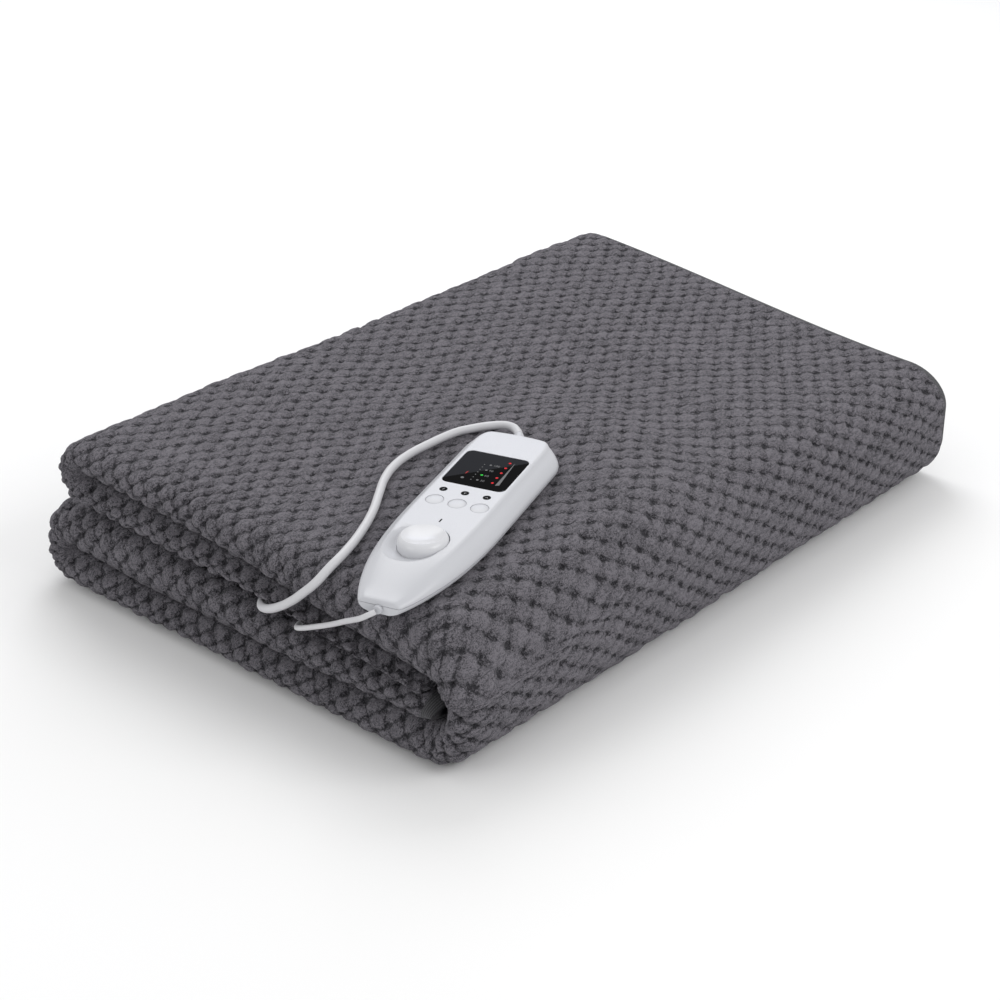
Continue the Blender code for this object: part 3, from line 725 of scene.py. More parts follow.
# %% Display marks
TILE, TILE_SUNK = 0.08, 0.05
HEAT_ACROSS, HEAT_FIRST, HEAT_STEP = 9.5, 126.8, 6.3
MINUTES = {"30": 126.8, "60": 133.1, "90": 139.4, "180": 145.8}
MINUTES_ACROSS, MINUTES_SIZE = 1.7, 2.7
WEDGE = [(12.15, 124.6), (14.3, 125.4), (12.45, 152.4), (12.25, 152.3)]
MODE_SIGN = [(-9.9, 131.2), (-9.1, 132.2), (-9.0, 134.8), (-9.8, 133.8)]


def mark(name, outline, finish, thick=TILE):
    """A flat tile on the handset's top, from its outline's corners."""
    rings = [[(x, y, HEIGHT + rise) for x, y in outline] for rise in (-TILE_SUNK, thick)]
    settle(extruded(name, rings), "blanket_and_leads", finish)


def disc_outline(across, along, radius, count=20):
    return [on_circle((across, along), radius, math.tau * i / count) for i in range(count)]


for i in range(5):
    disc = disc_outline(HEAT_ACROSS, HEAT_FIRST + HEAT_STEP * i, 0.82)
    mark(f"heat_lamp_{i + 1}", disc, lamp_red)
mark("timer_lamp_lit", disc_outline(0.0, MINUTES["60"], 0.82), lamp_green)
for i, text in enumerate(("30", "90", "180")):
    mark(f"timer_lamp_{i + 1}", disc_outline(0.0, MINUTES[text], 0.75), print_grey)
mark("mode_lamp", disc_outline(-9.35, 126.4, 1.0), print_grey)
mark("heat_wedge", WEDGE, print_grey)
for i in range(7):
    mark(f"timer_dot_{i + 1}", disc_outline(-3.75, 126.1 + 3.2 * i, 0.4, 10), print_grey)
for text, along in MINUTES.items():
    clear_selection()
    bpy.ops.object.text_add()
    line = bpy.context.object.data
    line.body, line.size, line.align_y = text, MINUTES_SIZE * MM, "CENTER"
    line.extrude = 0.03 * MM
    bpy.ops.object.convert(target="MESH")
    numeral = named(f"minutes_{text}")
    place = Vector((MINUTES_ACROSS, along, HEIGHT + 0.04))
    numeral.data.transform(Matrix.Translation(place * MM))
    settle(numeral, "blanket_and_leads", print_grey)
mark("mode_sign", MODE_SIGN, lamp_dim)
print("display marks ready")

# %% [markdown]
# ## Printed signs over the buttons
#
# Three small black roundels tell the buttons apart, and a short dash marks
# where the knob points. The places of words are left bare.

# %% Roundels and dash
ROUNDELS = {"left": -13.6, "middle": 0.0, "right": 13.6}
ROUNDEL_ROW, ROUNDEL_RADIUS = 110.0, 2.4
INK_THICK, SIGN_THICK = 0.04, 0.09
STROKES = {
    "left_bar": (-13.6, 110.0, 1.5, 0.35, 60.0),
    "middle_bar": (0.0, 110.3, 1.4, 0.35, 20.0),
    "middle_stem": (0.0, 109.5, 0.35, 0.9, 0.0),
    "right_bar": (13.25, 110.0, 1.3, 0.35, 45.0),
    "right_stem": (13.95, 110.0, 1.3, 0.35, -45.0),
}
ink = Finish("ink_black", Roughness=0.6, Specular_IOR_Level=0.03)
inks = (0.003, 0.003, 0.0035, 1.0), (0.008, 0.008, 0.009, 1.0)
ink.feed(Base_Color=ink.blend(ink.noise(300.0), *inks))
sign_white = lamp_finish("sign_white", (0.42, 0.42, 0.43), 0.0)


def strip_outline(across, along, length, width, degrees):
    turn = Matrix.Rotation(math.radians(degrees), 2)
    corners = [(x * length / 2, y * width / 2) for x, y in ((-1, -1), (1, -1), (1, 1), (-1, 1))]
    return [tuple(Vector((across, along)) + turn @ Vector(c)) for c in corners]


for name, across in ROUNDELS.items():
    disc = disc_outline(across, ROUNDEL_ROW, ROUNDEL_RADIUS, 32)
    mark(f"roundel_{name}", disc, ink, INK_THICK)
for name, stroke in STROKES.items():
    mark(f"sign_{name}", strip_outline(*stroke), sign_white, SIGN_THICK)
mark("knob_dash", strip_outline(0.3, 76.9, 0.9, 3.6, 0.0), ink, INK_THICK)
print("signs ready")

# %% [markdown]
# ## The cloth
#
# The blanket is one sheet of quilted fleece, folded in half along the front and
# then over and over into a stack. A simulation of a thing this thick tends to
# lose its tidy folds, so the stack is laid out as numbers: a section across one
# layer, swept along the path that the layers follow, then bent to where the
# cloth really lies. The puffs are real relief, pushed in along the normals.
# FRONT holds the heights of the layers' borders along the front edge, and EVEN
# the shares of the height that they take further back. Each swell is a place, a
# radius and a rise, and the leads' spots are where the halves stand apart.

# %% The stack's numbers
LAYER, ROLL, FRONT_ROUND = 24.0, 24.0, 18.0
PLY_GAP, PAIR_GAP, MIDDLE_GAP, LEAD_GAP = 1.0, 1.2, 3.0, 7.8
HEM_LENGTH, HEM_PINCH = 9.0, 0.72
BACK_TOP, FRONT_REACH = (112.0, 82.0), 220.0
PRESSED, PRESS_FADE, LEAD_REACH = 52.0, 90.0, 62.0
UPPER_STEP, STEP_REACH = (20.0, 36.0), 300.0
FRONT = {
    "x": (0.0, 100.0, 200.0, 300.0, 330.0, 366.0),
    "low": (26.0, 21.5, 22.5, 27.0, 29.0, 30.0),
    "middle": (61.0, 58.0, 54.5, 50.5, 49.5, 49.5),
    "high": (87.0, 81.5, 73.0, 59.5, 54.5, 55.0),
    "top": (107.0, 105.0, 103.0, 102.0, 101.5, 101.0),
}
EVEN = {"low": 0.243, "middle": 0.5, "high": 0.757}
SWELLS = (
    (90.0, 130.0, 110.0, 2.5), (150.0, 330.0, 130.0, 3.0), (300.0, 330.0, 90.0, 4.0),
    (40.0, 440.0, 80.0, 2.5), (120.0, 230.0, 70.0, -2.5), (240.0, 420.0, 80.0, -2.0),
)
LEAD_SPOTS = (
    (215.0, 0.0), (185.0, 55.0), (140.0, 110.0), (90.0, 155.0), (30.0, 185.0),
    (250.0, 50.0), (300.0, 95.0),
)
print("four layers of", LAYER, "mm, and", len(SWELLS), "swells on the top one")


# %% Where the cloth lies
def from_handset(x, y):
    """Distance in plan from the line down the handset's middle."""
    dx, dy = x - NOSE.x, y - NOSE.y
    along = np.clip(-math.sin(TURN) * dx + math.cos(TURN) * dy, 0.0, LENGTH)
    return np.hypot(dx + math.sin(TURN) * along, dy - math.cos(TURN) * along)


def front_height(x, name):
    return np.interp(x, FRONT["x"], FRONT[name])


def top_height(x, y):
    """The stack's top, pressed to the handset's tilted underside near it."""
    back = mix(*BACK_TOP, ease(x / STACK_X))
    height = mix(front_height(x, "top"), back, np.clip(y / STACK_Y, 0.0, 1.0))
    for cx, cy, radius, rise in SWELLS:
        height = height + rise * ease(1.0 - np.hypot(x - cx, y - cy) / radius)
    up = tilted @ Vector((0, 0, 1))
    seat = NOSE.z - ((x - NOSE.x) * up.x + (y - NOSE.y) * up.y) / up.z - GAP
    return mix(seat, height, ease((from_handset(x, y) - PRESSED) / PRESS_FADE))


def lead_gap(x, y):
    """The gap between the stack's halves, wider where the leads run in it."""
    reach = [1.0 - np.hypot(x - a, y - b) / LEAD_REACH for a, b in LEAD_SPOTS]
    return mix(MIDDLE_GAP, LEAD_GAP, ease(1.6 * np.max(reach, axis=0)))


def lie(x, y, z):
    """Points of an even stack, moved to where the cloth really lies."""
    pair = 2 * LAYER + PAIR_GAP
    low = LAYER + PAIR_GAP / 2
    upper_pair = pair + MIDDLE_GAP
    even = np.array([0.0, low, pair, upper_pair, upper_pair + low, 2 * pair + MIDDLE_GAP])
    upper = ease((z - even[2]) / MIDDLE_GAP)
    x = x + mix(*UPPER_STEP, y / STACK_Y) * upper * (1.0 - ease(x / STEP_REACH))
    top = top_height(x, y)
    back = ease(y / FRONT_REACH)
    at = {
        name: mix(front_height(x, name) / front_height(x, "top"), share, back) * top
        for name, share in EVEN.items()
    }
    half = lead_gap(x, y) / 2
    real = np.stack([0 * x, at["low"], at["middle"] - half, at["middle"] + half, at["high"], top])
    i = (z[None] > even[1:5, None, None]).sum(axis=0)
    share = (z - even[i]) / (even[i + 1] - even[i])
    below = np.take_along_axis(real, i[None], 0)[0]
    above = np.take_along_axis(real, i[None] + 1, 0)[0]
    return np.stack([x, y, mix(below, above, share)], axis=-1)


print("top over the middle:", float(top_height(np.array(183.0), np.array(250.0))))

# %% [markdown]
# ## The path and the section
#
# The path starts at the inner end of the second layer, goes round the left fold
# to the top, over the roll at the right, back along the floor, and round the
# other left fold to the inner end of the third layer. Both inner ends stop a
# little short of the roll. A place's third number is the way the outer side faces,
# and its fourth the length to the next place along that side, on which the
# quilting is laid out. Each puff gets six steps one way and eight the other.

# %% Path and section
PUFF_X, PUFF_Y = 14.2, 19.9
STEP_X, STEP_Y = PUFF_X / 6, PUFF_Y / 8
INNER_ENDS, END_TAPER, END_PINCH = (34.0, 27.0), 7.0, 0.6
NOSE_STEPS, NOSE_AROUND, INSIDE_ROWS, SLIT_ROWS = 20, 47.4, 30, 8


def straight(x0, x1, z, facing):
    count = max(2, round(abs(x1 - x0) / STEP_X))
    return [(mix(x0, x1, i / count), z, facing, abs(x1 - x0) / count) for i in range(count)]


def arc(x, z, radius, first, last):
    outer = math.radians(abs(last - first)) * (radius + LAYER / 2)
    count = max(4, round(outer / STEP_X))
    line = []
    for i in range(count):
        a = math.radians(mix(first, last, i / count))
        line.append((*on_circle((x, z), radius, a), a, outer / count))
    return line


def fold_path():
    heights = [LAYER / 2, LAYER / 2 + LAYER + PAIR_GAP]
    heights += [h + 2 * LAYER + PAIR_GAP + MIDDLE_GAP for h in heights]
    fourth, third, second, first = heights
    turn = (LAYER + PAIR_GAP) / 2
    left, right = turn + LAYER / 2, STACK_X - LAYER / 2 - ROLL
    down, up = math.radians(-90), math.radians(90)
    line = straight(STACK_X - INNER_ENDS[0], left, second, down)
    line += arc(left, second + turn, turn, 270, 90)
    line += straight(left, right, first, up)
    line += arc(right, first - ROLL, ROLL, 90, 0)
    drop = first - fourth - 2 * ROLL
    count = round(drop / STEP_X)
    for i in range(count):
        line.append((right + ROLL, first - ROLL - drop * i / count, 0.0, drop / count))
    line += arc(right, fourth + ROLL, ROLL, 0, -90)
    line += straight(right, left, fourth, down)
    line += arc(left, fourth + turn, turn, 270, 90)
    line += straight(left, STACK_X - INNER_ENDS[1], third, up)
    line.append((STACK_X - INNER_ENDS[1], third, up, 0.0))
    return np.array(line)


def hem_pinch(y):
    """The share of its thickness that a layer keeps towards its back hem."""
    return mix(1.0, HEM_PINCH, float(ease((y - STACK_Y + HEM_LENGTH) / HEM_LENGTH)))


def layer_section():
    """One layer seen along its path: y, height over its middle, and place on the quilting."""
    half = LAYER / 2
    count = round((STACK_Y - FRONT_ROUND) / STEP_Y)
    ys = [mix(STACK_Y, FRONT_ROUND, i / count) for i in range(count + 1)]
    rows = [(y, half * hem_pinch(y), y) for y in ys]
    for i in range(1, NOSE_STEPS):
        a = math.pi * i / NOSE_STEPS
        quilted = FRONT_ROUND - NOSE_AROUND * i / NOSE_STEPS
        rows.append((FRONT_ROUND * (1 - math.sin(a)), half * math.cos(a), quilted))
    for i in range(INSIDE_ROWS + 1):
        y = mix(FRONT_ROUND, STACK_Y, (i / INSIDE_ROWS) ** 1.3)
        rows.append((y, -half * hem_pinch(y), 0.0))
    outside = len(rows)
    slit = [mix(STACK_Y, FRONT_ROUND, i / SLIT_ROWS) for i in range(SLIT_ROWS + 1)]
    rows += [(y, -PLY_GAP / 2, 0.0) for y in slit] + [(FRONT_ROUND - PLY_GAP, 0.0, 0.0)]
    rows += [(y, PLY_GAP / 2, 0.0) for y in reversed(slit)]
    return np.array(rows), count + 1, outside


path = fold_path()
section, outer_rows, outside_rows = layer_section()
print("path:", len(path), "places; section:", len(section), "points")

# %% [markdown]
# ## Puffs on a lattice
#
# The quilting is a lattice of soft diamonds, with a stitched dimple at each
# corner. Two slanted coordinates make every diamond a unit square, with sines
# that are zero on its creases. A pillow is the sum of one such hump for each
# family of creases and a saddle of both, which is zero in the dimples alone, so
# the creases stay shallower. Waves bend the lattice and vary its depth, as cloth
# has no ruler-straight rows. Where a fold crowds the cloth, the relief calms.

# %% The quilting's height
def lattice(s, t):
    """Two slanted coordinates, whole numbers on the creases."""
    slow, fast = 0.8 * np.sin(t / 27.0 + s / 83.0), 0.8 * np.sin(t / 7.3 + s / 11.9 + 1.7)
    s = s + 1.3 * np.sin(t / 61.0 + 0.6) + slow + fast
    slow, fast = np.sin(s / 31.0 - t / 95.0), np.sin(s / 8.1 - t / 13.7)
    t = t + 1.8 * np.sin(s / 71.0 + 1.1) + slow + fast
    return s / PUFF_X + t / PUFF_Y, s / PUFF_X - t / PUFF_Y


def puffs(a, b):
    """Height of the quilting from 0 in a dimple to 1 on a puff."""
    u, v = np.abs(np.sin(math.pi * a)), np.abs(np.sin(math.pi * b))
    saddle = np.sqrt(u * u + v * v - u * u * v * v)
    return 0.44 * saddle**0.8 + 0.31 * v**0.6 + 0.25 * u**0.6


def chance(a, b):
    """A steady number from 0 to 1 for each puff."""
    wave = np.abs(np.sin(np.floor(a) * 12.9898 + np.floor(b) * 78.233))
    return np.modf(wave * 43758.5453)[0]


print("height on a crease, between two dimples:", round(float(puffs(0.5, 0.0)), 2))

# %% The smooth cloth
length = np.concatenate([[0.0], np.cumsum(path[:, 3])[:-1]])


def end_share(reach):
    """How near each place of the path is to one of its two ends."""
    return np.clip(1.0 - np.minimum(length, length[-1] - length) / reach, 0.0, 1.0)


def cloth_grid():
    """The smooth cloth's places, and its outward normals."""
    x, z, angle = (path[:, i][:, None] for i in range(3))
    y = np.repeat(section[None, :, 0], len(path), 0)
    rise = section[None, :, 1] * mix(1.0, END_PINCH, end_share(END_TAPER))[:, None]
    places = lie(x + rise * np.cos(angle), y, z + rise * np.sin(angle))
    skin = places[:, :outside_rows]
    normals = np.cross(np.gradient(skin, axis=1), np.gradient(skin, axis=0))
    normals /= np.maximum(np.linalg.norm(normals, axis=-1, keepdims=True), 1e-9)
    facing = np.cos(angle)[:, 0] * normals[:, 10, 0] + np.sin(angle)[:, 0] * normals[:, 10, 2]
    if facing.mean() < 0:
        normals = -normals
    return places, normals


places, normals = cloth_grid()
print("smooth cloth:", places.shape[0] * places.shape[1], "points")

# %% Push the puffs in
DEPTHS, NOSE_REACH, CREASED = (2.8, 5.6), 40.0, 0.22
TAPE_FROM, TAPE_FADE, END_TAPE, TAPE_SUNK = 9.5, 2.5, 8.0, 1.4
skin = places[:, :outside_rows]
gone = np.repeat(length[:, None], outside_rows, 1)
across = np.repeat(section[None, :outside_rows, 2], len(path), 0)
slant_a, slant_b = lattice(gone, across)
front = ease((NOSE_REACH - skin[..., 1]) / NOSE_REACH)
upright = np.abs(normals[..., 0])
in_crevice = np.arange(outside_rows)[None] >= outer_rows + NOSE_STEPS - 4
back_tape = ease((skin[..., 1] - STACK_Y + TAPE_FROM) / TAPE_FADE)
inner_tape = (end_share(END_TAPE) > 0.0) & (length > length[-1] / 2)
hem = np.maximum(back_tape, inner_tape[:, None])
stretch = np.linalg.norm(np.diff(skin, axis=0, append=skin[-1:]), axis=-1)
calm = 1.0 - ease(stretch / np.maximum(path[:, 3:], STEP_X / 2) / 0.75)
calm[-1] = 0.0

pile = puffs(slant_a, slant_b) * (1.0 - CREASED * chance(slant_a, slant_b))
lobes = np.sqrt(np.abs(np.sin(math.pi * slant_a) * np.sin(math.pi * slant_b)))
pile = mix(pile, lobes, 0.2 * front)
depth = mix(*DEPTHS, np.maximum(front, 0.7 * ease(upright * 1.4)))
depth = depth * (1.0 - hem) * np.where(in_crevice, 0.0, 1.0) * (1.0 - 0.9 * calm)
swing = 1.0 + 0.18 * np.sin(gone / 37.0 + across / 53.0)
swing = swing + 0.14 * np.sin(gone / 23.0 - across / 29.0)
relief = depth * swing * (1.0 - pile) + TAPE_SUNK * hem
skin -= normals * relief[..., None]
places[..., 2] = np.maximum(places[..., 2], 0.0)
print("puffs up to", round(float(relief.max()), 2), "mm deep")

# %% [markdown]
# ## From numbers to one closed mesh
#
# The grid of places becomes quads, and the two inner ends are capped. Nobody
# sees the inside of the stack, so the faces there are thinned with the Decimate
# operator, which works on what is selected and leaves the puffs alone.

# %% Faces, and which of them are seen
SEEN_LEFT, SEEN_FRONT, SEEN_BACK, SEEN_INSIDE = 70.0, 52.0, 24.0, 14.0
rows, columns = len(path), len(section)


def grid_faces():
    i, j = np.meshgrid(np.arange(rows - 1), np.arange(columns), indexing="ij")
    k = (j + 1) % columns
    corners = [i * columns + j, i * columns + k, (i + 1) * columns + k, (i + 1) * columns + j]
    return np.stack(corners, -1).reshape(-1, 4)


def seen_points():
    """The points that somebody may see from outside the stack."""
    column, x, y = np.arange(columns)[None], places[..., 0], places[..., 1]
    on_top = (path[:, 2] > math.radians(85)) & (path[:, 1] > 80)
    outward = (on_top | (np.abs(np.cos(path[:, 2])) > 0.05))[:, None]
    outward = outward | (x < SEEN_LEFT) | (y < SEEN_FRONT) | (y > STACK_Y - SEEN_BACK)
    nose = (column >= outer_rows - 1) & (column <= outer_rows + NOSE_STEPS)
    inside = (column >= outer_rows) & (column < outside_rows) & (y > STACK_Y - SEEN_INSIDE)
    return (column < outer_rows) & outward | nose | inside


faces = grid_faces()
hidden_face = ~seen_points().reshape(-1)[faces].any(axis=1)
print("faces:", len(faces), "of which hidden:", int(hidden_face.sum()))

# %% Make the mesh
cloth_mesh = bpy.data.meshes.new("quilted_fleece")
cloth_mesh.from_pydata(world(places.reshape(-1, 3)).tolist(), [], faces.tolist())


def on_points(name, kind, field, values):
    """Gives the mesh a value at each point, which is zero inside the cloth."""
    whole = np.zeros((rows, columns, *values.shape[2:]), np.float32)
    whole[:, :outside_rows] = values
    data = cloth_mesh.attributes.new(name, kind, "POINT").data
    data.foreach_set(field, whole.reshape(-1))


on_points("nose", "FLOAT", "value", front)
on_points("lattice", "FLOAT_VECTOR", "vector", np.stack([slant_a, slant_b, calm], axis=-1))
on_points("hem", "FLOAT", "value", hem)
fleece = bpy.data.objects.new("quilted_fleece", cloth_mesh)
bpy.context.scene.collection.objects.link(fleece)
print("nose, lattice and hem stored at", rows * columns, "points")

# %% Cap its ends and thin its inside
KEPT_SHARE = 0.07
edit(fleece, "FACE")
mesh = bmesh.from_edit_mesh(cloth_mesh)
mesh.verts.ensure_lookup_table()
for start in (0, (rows - 1) * columns):
    mesh.faces.new([mesh.verts[start + j] for j in range(columns)])
bmesh.update_edit_mesh(cloth_mesh)
bpy.ops.mesh.select_all(action="SELECT")
bpy.ops.mesh.normals_make_consistent(inside=False)
bpy.ops.mesh.select_all(action="DESELECT")
mesh = bmesh.from_edit_mesh(cloth_mesh)
mesh.faces.ensure_lookup_table()
for number in np.flatnonzero(hidden_face):
    mesh.faces[int(number)].select_set(True)
bpy.ops.mesh.decimate(ratio=KEPT_SHARE)
done()
print("cloth:", sum(len(p.vertices) - 2 for p in cloth_mesh.polygons), "triangles")

# %% [markdown]
# ## The fleece
#
# Short pile scatters light, so it looks matt with a pale edge: a rough base and
# a little sheen. Brushed patches lie a shade apart, as do whole puffs, and single
# fibres give a fine speckle. The dimples and creases get painted shade, darker where
# shadow falls among the puffs, and the front fold, which faces away from the
# lights, is painted a little darker too. Tufts push the creases to and fro, so that
# none is a drawn line.
# The speckle is stretched a little, as fibres are, and it also feeds the bump.
# The hems carry a plain ribbed tape.

# %% Pile and tufts
PILE_TONES = (0.034, 0.033, 0.038, 1.0), (0.187, 0.177, 0.197, 1.0)
TAPE_TONES = (0.048, 0.048, 0.051, 1.0), (0.098, 0.097, 0.102, 1.0)
TUFT_PUSH = (0.72, 0.72, 0.0)
pile_grey = Finish(
    "fleece_grey", Roughness=0.95, Specular_IOR_Level=0.1,
    Sheen_Weight=0.1, Sheen_Roughness=0.5, Sheen_Tint=(0.8, 0.79, 0.84, 1.0),
)
lying = pile_grey.place((1.0, 0.45, 1.0), (0.2, 0.1, 0.6))
fibres = pile_grey.noise(620.0, 4.0, 0.72, lying, 0.6)
specks = pile_grey.noise(1300.0, 3.0, 0.7)
brushed = pile_grey.noise(70.0, 3.0, 0.6, distortion=1.2)
tuft_inputs = {"Vector": pile_grey.place(), "Scale": 330.0, "Detail": 3.0}
tufts = pile_grey.node("ShaderNodeTexNoise", None, tuft_inputs, "Color")
wander = pile_grey.vectors("SUBTRACT", tufts, (0.5, 0.5, 0.5))
on_lattice = pile_grey.attribute("lattice", "Vector")
ragged = pile_grey.vectors("MULTIPLY_ADD", wander, TUFT_PUSH, on_lattice)
print("tufts push the creases by up to", TUFT_PUSH[0] / 2, "of a puff")


# %% Dimples and creases
def slanted(axis):
    """Signed distance to the nearest crease of one family, in puffs."""
    along = pile_grey.axis(ragged, axis)
    return along - along.maths("ROUND")


def hump(distance, reach):
    """1 on the line and falling smoothly to 0 beside it."""
    return ((distance * (1.0 / reach)) ** 2.0 * -1.0).maths("EXPONENT")


to_a, to_b = slanted("X"), slanted("Y")
on_nose, hem_strip = pile_grey.attribute("nose", "Fac"), pile_grey.attribute("hem", "Fac")
lively = 1.0 - pile_grey.axis(on_lattice, "Z")
pit = hump(to_a, 0.24) * hump(to_b + to_a * to_a * 1.1 - 0.03, 0.13)
pit = pit * lively * (1.0 - on_nose * 0.3)
broken = brushed * lively * (on_nose * 1.6 + 2.0)
row_crease, side_crease = hump(to_b, 0.08) * broken, hump(to_a, 0.09) * broken
print("creases ready, with", len(pile_grey.tree.nodes), "nodes so far")

# %% Fleece finish
puff_inputs = {"Vector": pile_grey.vectors("FLOOR", on_lattice)}
own_shade = pile_grey.node("ShaderNodeTexWhiteNoise", {"noise_dimensions": "2D"}, puff_inputs)
shade = (fibres - 0.5) * 2.6 + (specks - 0.5) * 3.0 + (brushed - 0.5) * 0.6
# Painted shade: the dimples, both families of creases and the front fold are made darker here
shade = shade + own_shade * 0.16 + 0.58 - pit * 0.62
shade = shade - row_crease * 0.28 - side_crease * 0.24 - on_nose * 0.07
tone = pile_grey.blend(shade.clamped(), *PILE_TONES)
rib_inputs = {"Vector": pile_grey.place(), "Scale": 260.0}
ribs = pile_grey.node("ShaderNodeTexWave", {"bands_direction": "X"}, rib_inputs)
tape = pile_grey.blend(ribs, *TAPE_TONES)
pile_grey.feed(Base_Color=pile_grey.blend(hem_strip.clamped(), tone, tape))
pressed = (pit + row_crease * 0.3 + side_crease * 0.25) * (1.0 - hem_strip)
raised = fibres * 0.6 + specks * 0.35 - pressed
pile_grey.feed(Normal=pile_grey.bump(raised, 0.0017, 0.95))
paint(fleece, pile_grey)
pick(fleece)
bpy.ops.object.shade_smooth()
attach(fleece, "blanket_and_leads")
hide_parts("blanket")
print("fleece ready")

# %% [markdown]
# ## The plug, its pins and the small pieces
#
# The strain relief, the collar at the nose and the coil's tie keep their CAD
# shapes, which are right, and get finer finishes. The plug and its pins are
# extruded again through more points, so that their outlines are round.

# %% Plug and small pieces
PLUG_AT = Vector((-95.4, 306.3, 7.0))
PLUG_ROWS = (
    (0.0, 7.4, 7.0, 1.0), (0.6, 8.0, 7.6, 1.0), (4.0, 8.6, 8.2, 0.96), (9.0, 10.0, 9.4, 0.9),
    (11.0, 13.4, 10.9, 0.78), (13.0, 20.0, 12.6, 0.6), (15.5, 24.2, 13.4, 0.54),
    (18.0, 26.0, 13.7, 0.5), (22.0, 26.2, 13.7, 0.47), (26.0, 26.5, 13.7, 0.45),
    (29.0, 29.4, 13.7, 0.45), (33.0, 34.0, 13.7, 0.45), (36.0, 35.2, 13.6, 0.45),
    (36.8, 34.8, 13.2, 0.45), (37.0, 34.0, 12.4, 0.45),
)
PIN_ROWS, PIN_APART, PIN_ALONG = [(1.4, 19.0), (1.8, 18.7), (2.0, 18.0), (2.0, 0.0)], 9.3, 37.3


def squared(share, power):
    """A sine or cosine pushed outwards, which squares a circle's corners."""
    return math.copysign(abs(share) ** power, share)


def plug_rings(count=40):
    """Rings from each row's place along, width, height and power."""
    turns = [math.tau * i / count for i in range(count)]
    return [
        [(wide / 2 * squared(math.cos(a), power), along, tall / 2 * squared(math.sin(a), power))
         for a in turns]
        for along, wide, tall, power in PLUG_ROWS
    ]


plug = extruded("plug_white", plug_rings())
at_plug = Matrix.Translation((PLUG_AT - ORIGIN) * MM)
settle(plug, "blanket_and_leads", shell_white, at_plug)
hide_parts("plug_body")

nickel = Finish("pin_nickel", Metallic=1.0, Anisotropic=0.3)
drawn = nickel.noise(400.0, 2.0, 0.5, nickel.place((6.0, 0.3, 6.0)))
nickel.feed(Base_Color=nickel.blend(drawn, (0.62, 0.60, 0.55, 1.0), (0.78, 0.76, 0.71, 1.0)))
nickel.feed(Roughness=drawn * 0.15 + 0.18)
for side, sign in (("left", -1.0), ("right", 1.0)):
    rings = [[(x, z, y) for x, y, z in ring] for ring in round_rings(PIN_ROWS, 24)]
    pin = extruded(f"pin_{side}", rings)
    at = PLUG_AT + Vector((sign * PIN_APART, PIN_ALONG, 0.0)) - ORIGIN
    settle(pin, "blanket_and_leads", nickel, Matrix.Translation(at * MM))
    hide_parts(f"plug_pin_{side}")

tie_black = Finish("tie_black", Roughness=0.6)
weave_inputs = {"Vector": tie_black.place(), "Scale": 300.0}
weave = tie_black.node("ShaderNodeTexWave", {"bands_direction": "Y"}, weave_inputs)
tie_tones = (0.012, 0.012, 0.013, 1.0), (0.03, 0.03, 0.032, 1.0)
tie_black.feed(Base_Color=tie_black.blend(weave, *tie_tones))
tie_black.feed(Normal=tie_black.bump(weave, 0.0002, 0.6))
kept_nodes = {"strain_relief": shell_white, "nose_gland": shell_white, "cord_tie": tie_black}
for name, finish in kept_nodes.items():
    paint(frame["nodes"][name], finish)
print("plug and small pieces ready")

# %% [markdown]
#
# The plug, its pins and the tie belong to the mains lead.

print("the plug, its pins and the tie end the mains lead")

# %% [markdown]
# ## Floor and light
#
# The photograph is a cut-out on white, lit from high up with plenty of fill. A
# pale floor, a white world and three area lights give that: a key light from the
# back left, one from the right side, and a weak one that keeps the folds at the
# front from going black.

# %% Floor
FLOOR_SIZE, FLOOR_LOW = 12.0, -0.0002
clear_selection()
bpy.ops.mesh.primitive_plane_add(size=FLOOR_SIZE, location=(0.0, 0.0, FLOOR_LOW))
floor = named("studio_floor")
floor_pale = Finish("floor_pale", Roughness=0.9, Specular_IOR_Level=0.1)
pales = (0.86, 0.86, 0.86, 1.0), (0.9, 0.9, 0.9, 1.0)
floor_pale.feed(Base_Color=floor_pale.blend(floor_pale.noise(2.0), *pales))
paint(floor, floor_pale)
print("floor:", FLOOR_SIZE, "m wide")

# %% Lights
studio = bpy.data.worlds.new("studio")
studio.use_nodes = True
backdrop = studio.node_tree.nodes["Background"].inputs
backdrop["Color"].default_value = (1.0, 1.0, 1.0, 1.0)
backdrop["Strength"].default_value = 0.74
bpy.context.scene.world = studio
bpy.context.scene.view_settings.view_transform = "Standard"


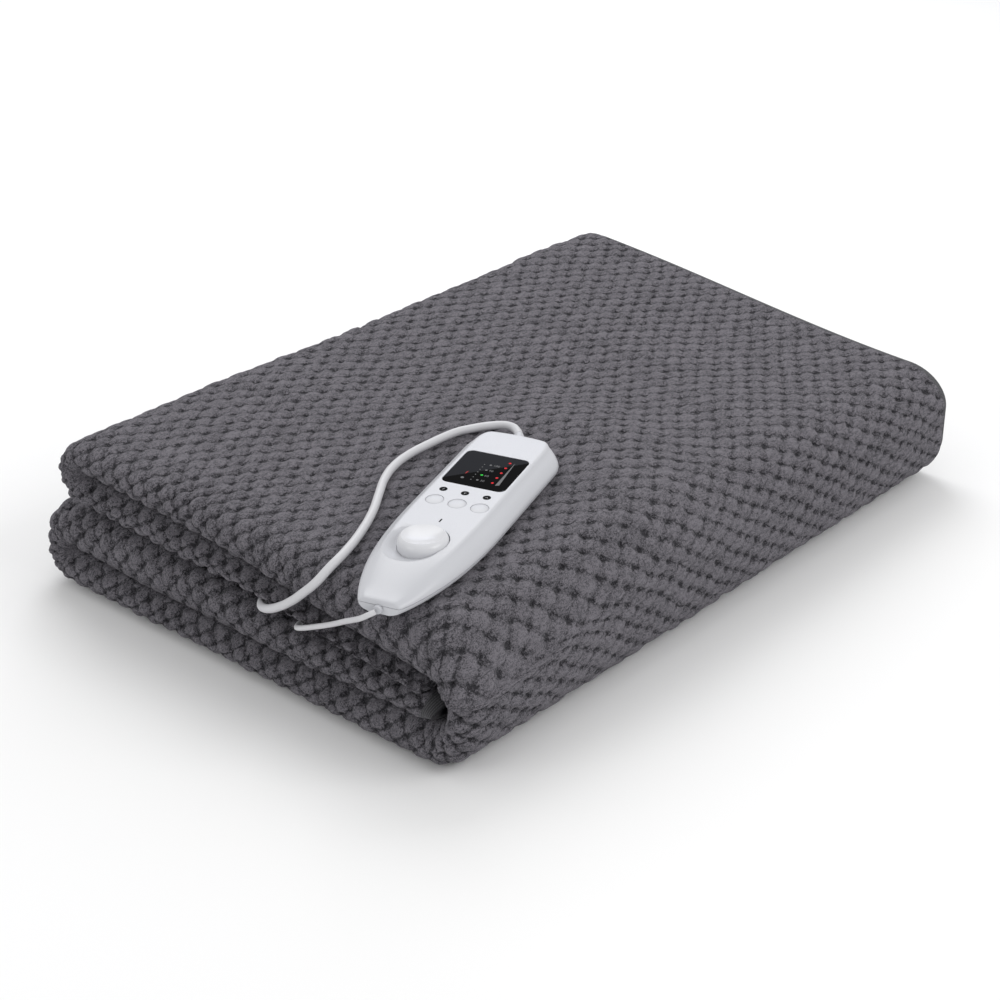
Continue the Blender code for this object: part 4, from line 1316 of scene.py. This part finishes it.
def softbox(name, place, size, power):
    """An area light that looks at the stack."""
    clear_selection()
    bpy.ops.object.light_add(type="AREA", location=place)
    light = bpy.context.object
    light.name = name
    light.data.shape, light.data.size, light.data.size_y = "RECTANGLE", *size
    light.data.energy = power
    towards = Vector((0.0, 0.0, 0.05)) - Vector(place)
    light.rotation_euler = towards.to_track_quat("-Z", "Y").to_euler()
    return light


softbox("key_light", (-0.9, 0.7, 1.6), (1.2, 1.2), 12.0)
softbox("side_light", (1.5, 0.3, 1.3), (1.2, 0.8), 11.0)
softbox("front_light", (-0.3, -1.5, 0.8), (0.7, 0.7), 2.8)
print("three lights, and the world at", backdrop["Strength"].default_value)

# %% [markdown]
# ## The light that the display mirrors
#
# In the photograph the display's far left half is lighter, with a slanted sharp
# edge. A mirror sends each sight line on to one place in the room, so two points
# on that edge and one on the lit side give the line on which the light's own edge
# has to lie, and the side on which the light stands.

# %% The display's light
PANE_EDGE, PANE_LIT = ((-19.1, 123.3), (19.9, 156.6)), (-19.8, 158.8)
PANE_LIGHT_AWAY, PANE_LIGHT_SIZE, PANE_LIGHT_POWER = 1.5, (0.6, 0.5), 2.1


def mirrored(across, along):
    """Where the camera's sight line gets to after it meets the display there."""
    at = handset @ (Vector((across, along, HEIGHT)) * MM)
    up = handset.to_3x3() @ Vector((0.0, 0.0, 1.0))
    sight = (at - camera.location).normalized()
    return at + sight.reflect(up) * PANE_LIGHT_AWAY


near_end, far_end, lit_side = (mirrored(*spot) for spot in (*PANE_EDGE, PANE_LIT))
edge = (far_end - near_end).normalized()
inward = lit_side - near_end
inward = (inward - edge * inward.dot(edge)).normalized()
facing = edge.cross(inward).normalized()
if facing.dot(near_end - handset.translation) < 0:
    edge, facing = -edge, -facing
pane_at = (near_end + far_end) / 2 + inward * (PANE_LIGHT_SIZE[1] / 2)
pane_light = softbox("pane_light", pane_at, PANE_LIGHT_SIZE, PANE_LIGHT_POWER)
pane_light.data.color = (0.8, 0.84, 1.0)
pane_light.rotation_euler = Matrix((edge, inward, facing)).transposed().to_euler()
print("the display's light is at", tuple(round(v, 2) for v in pane_at))
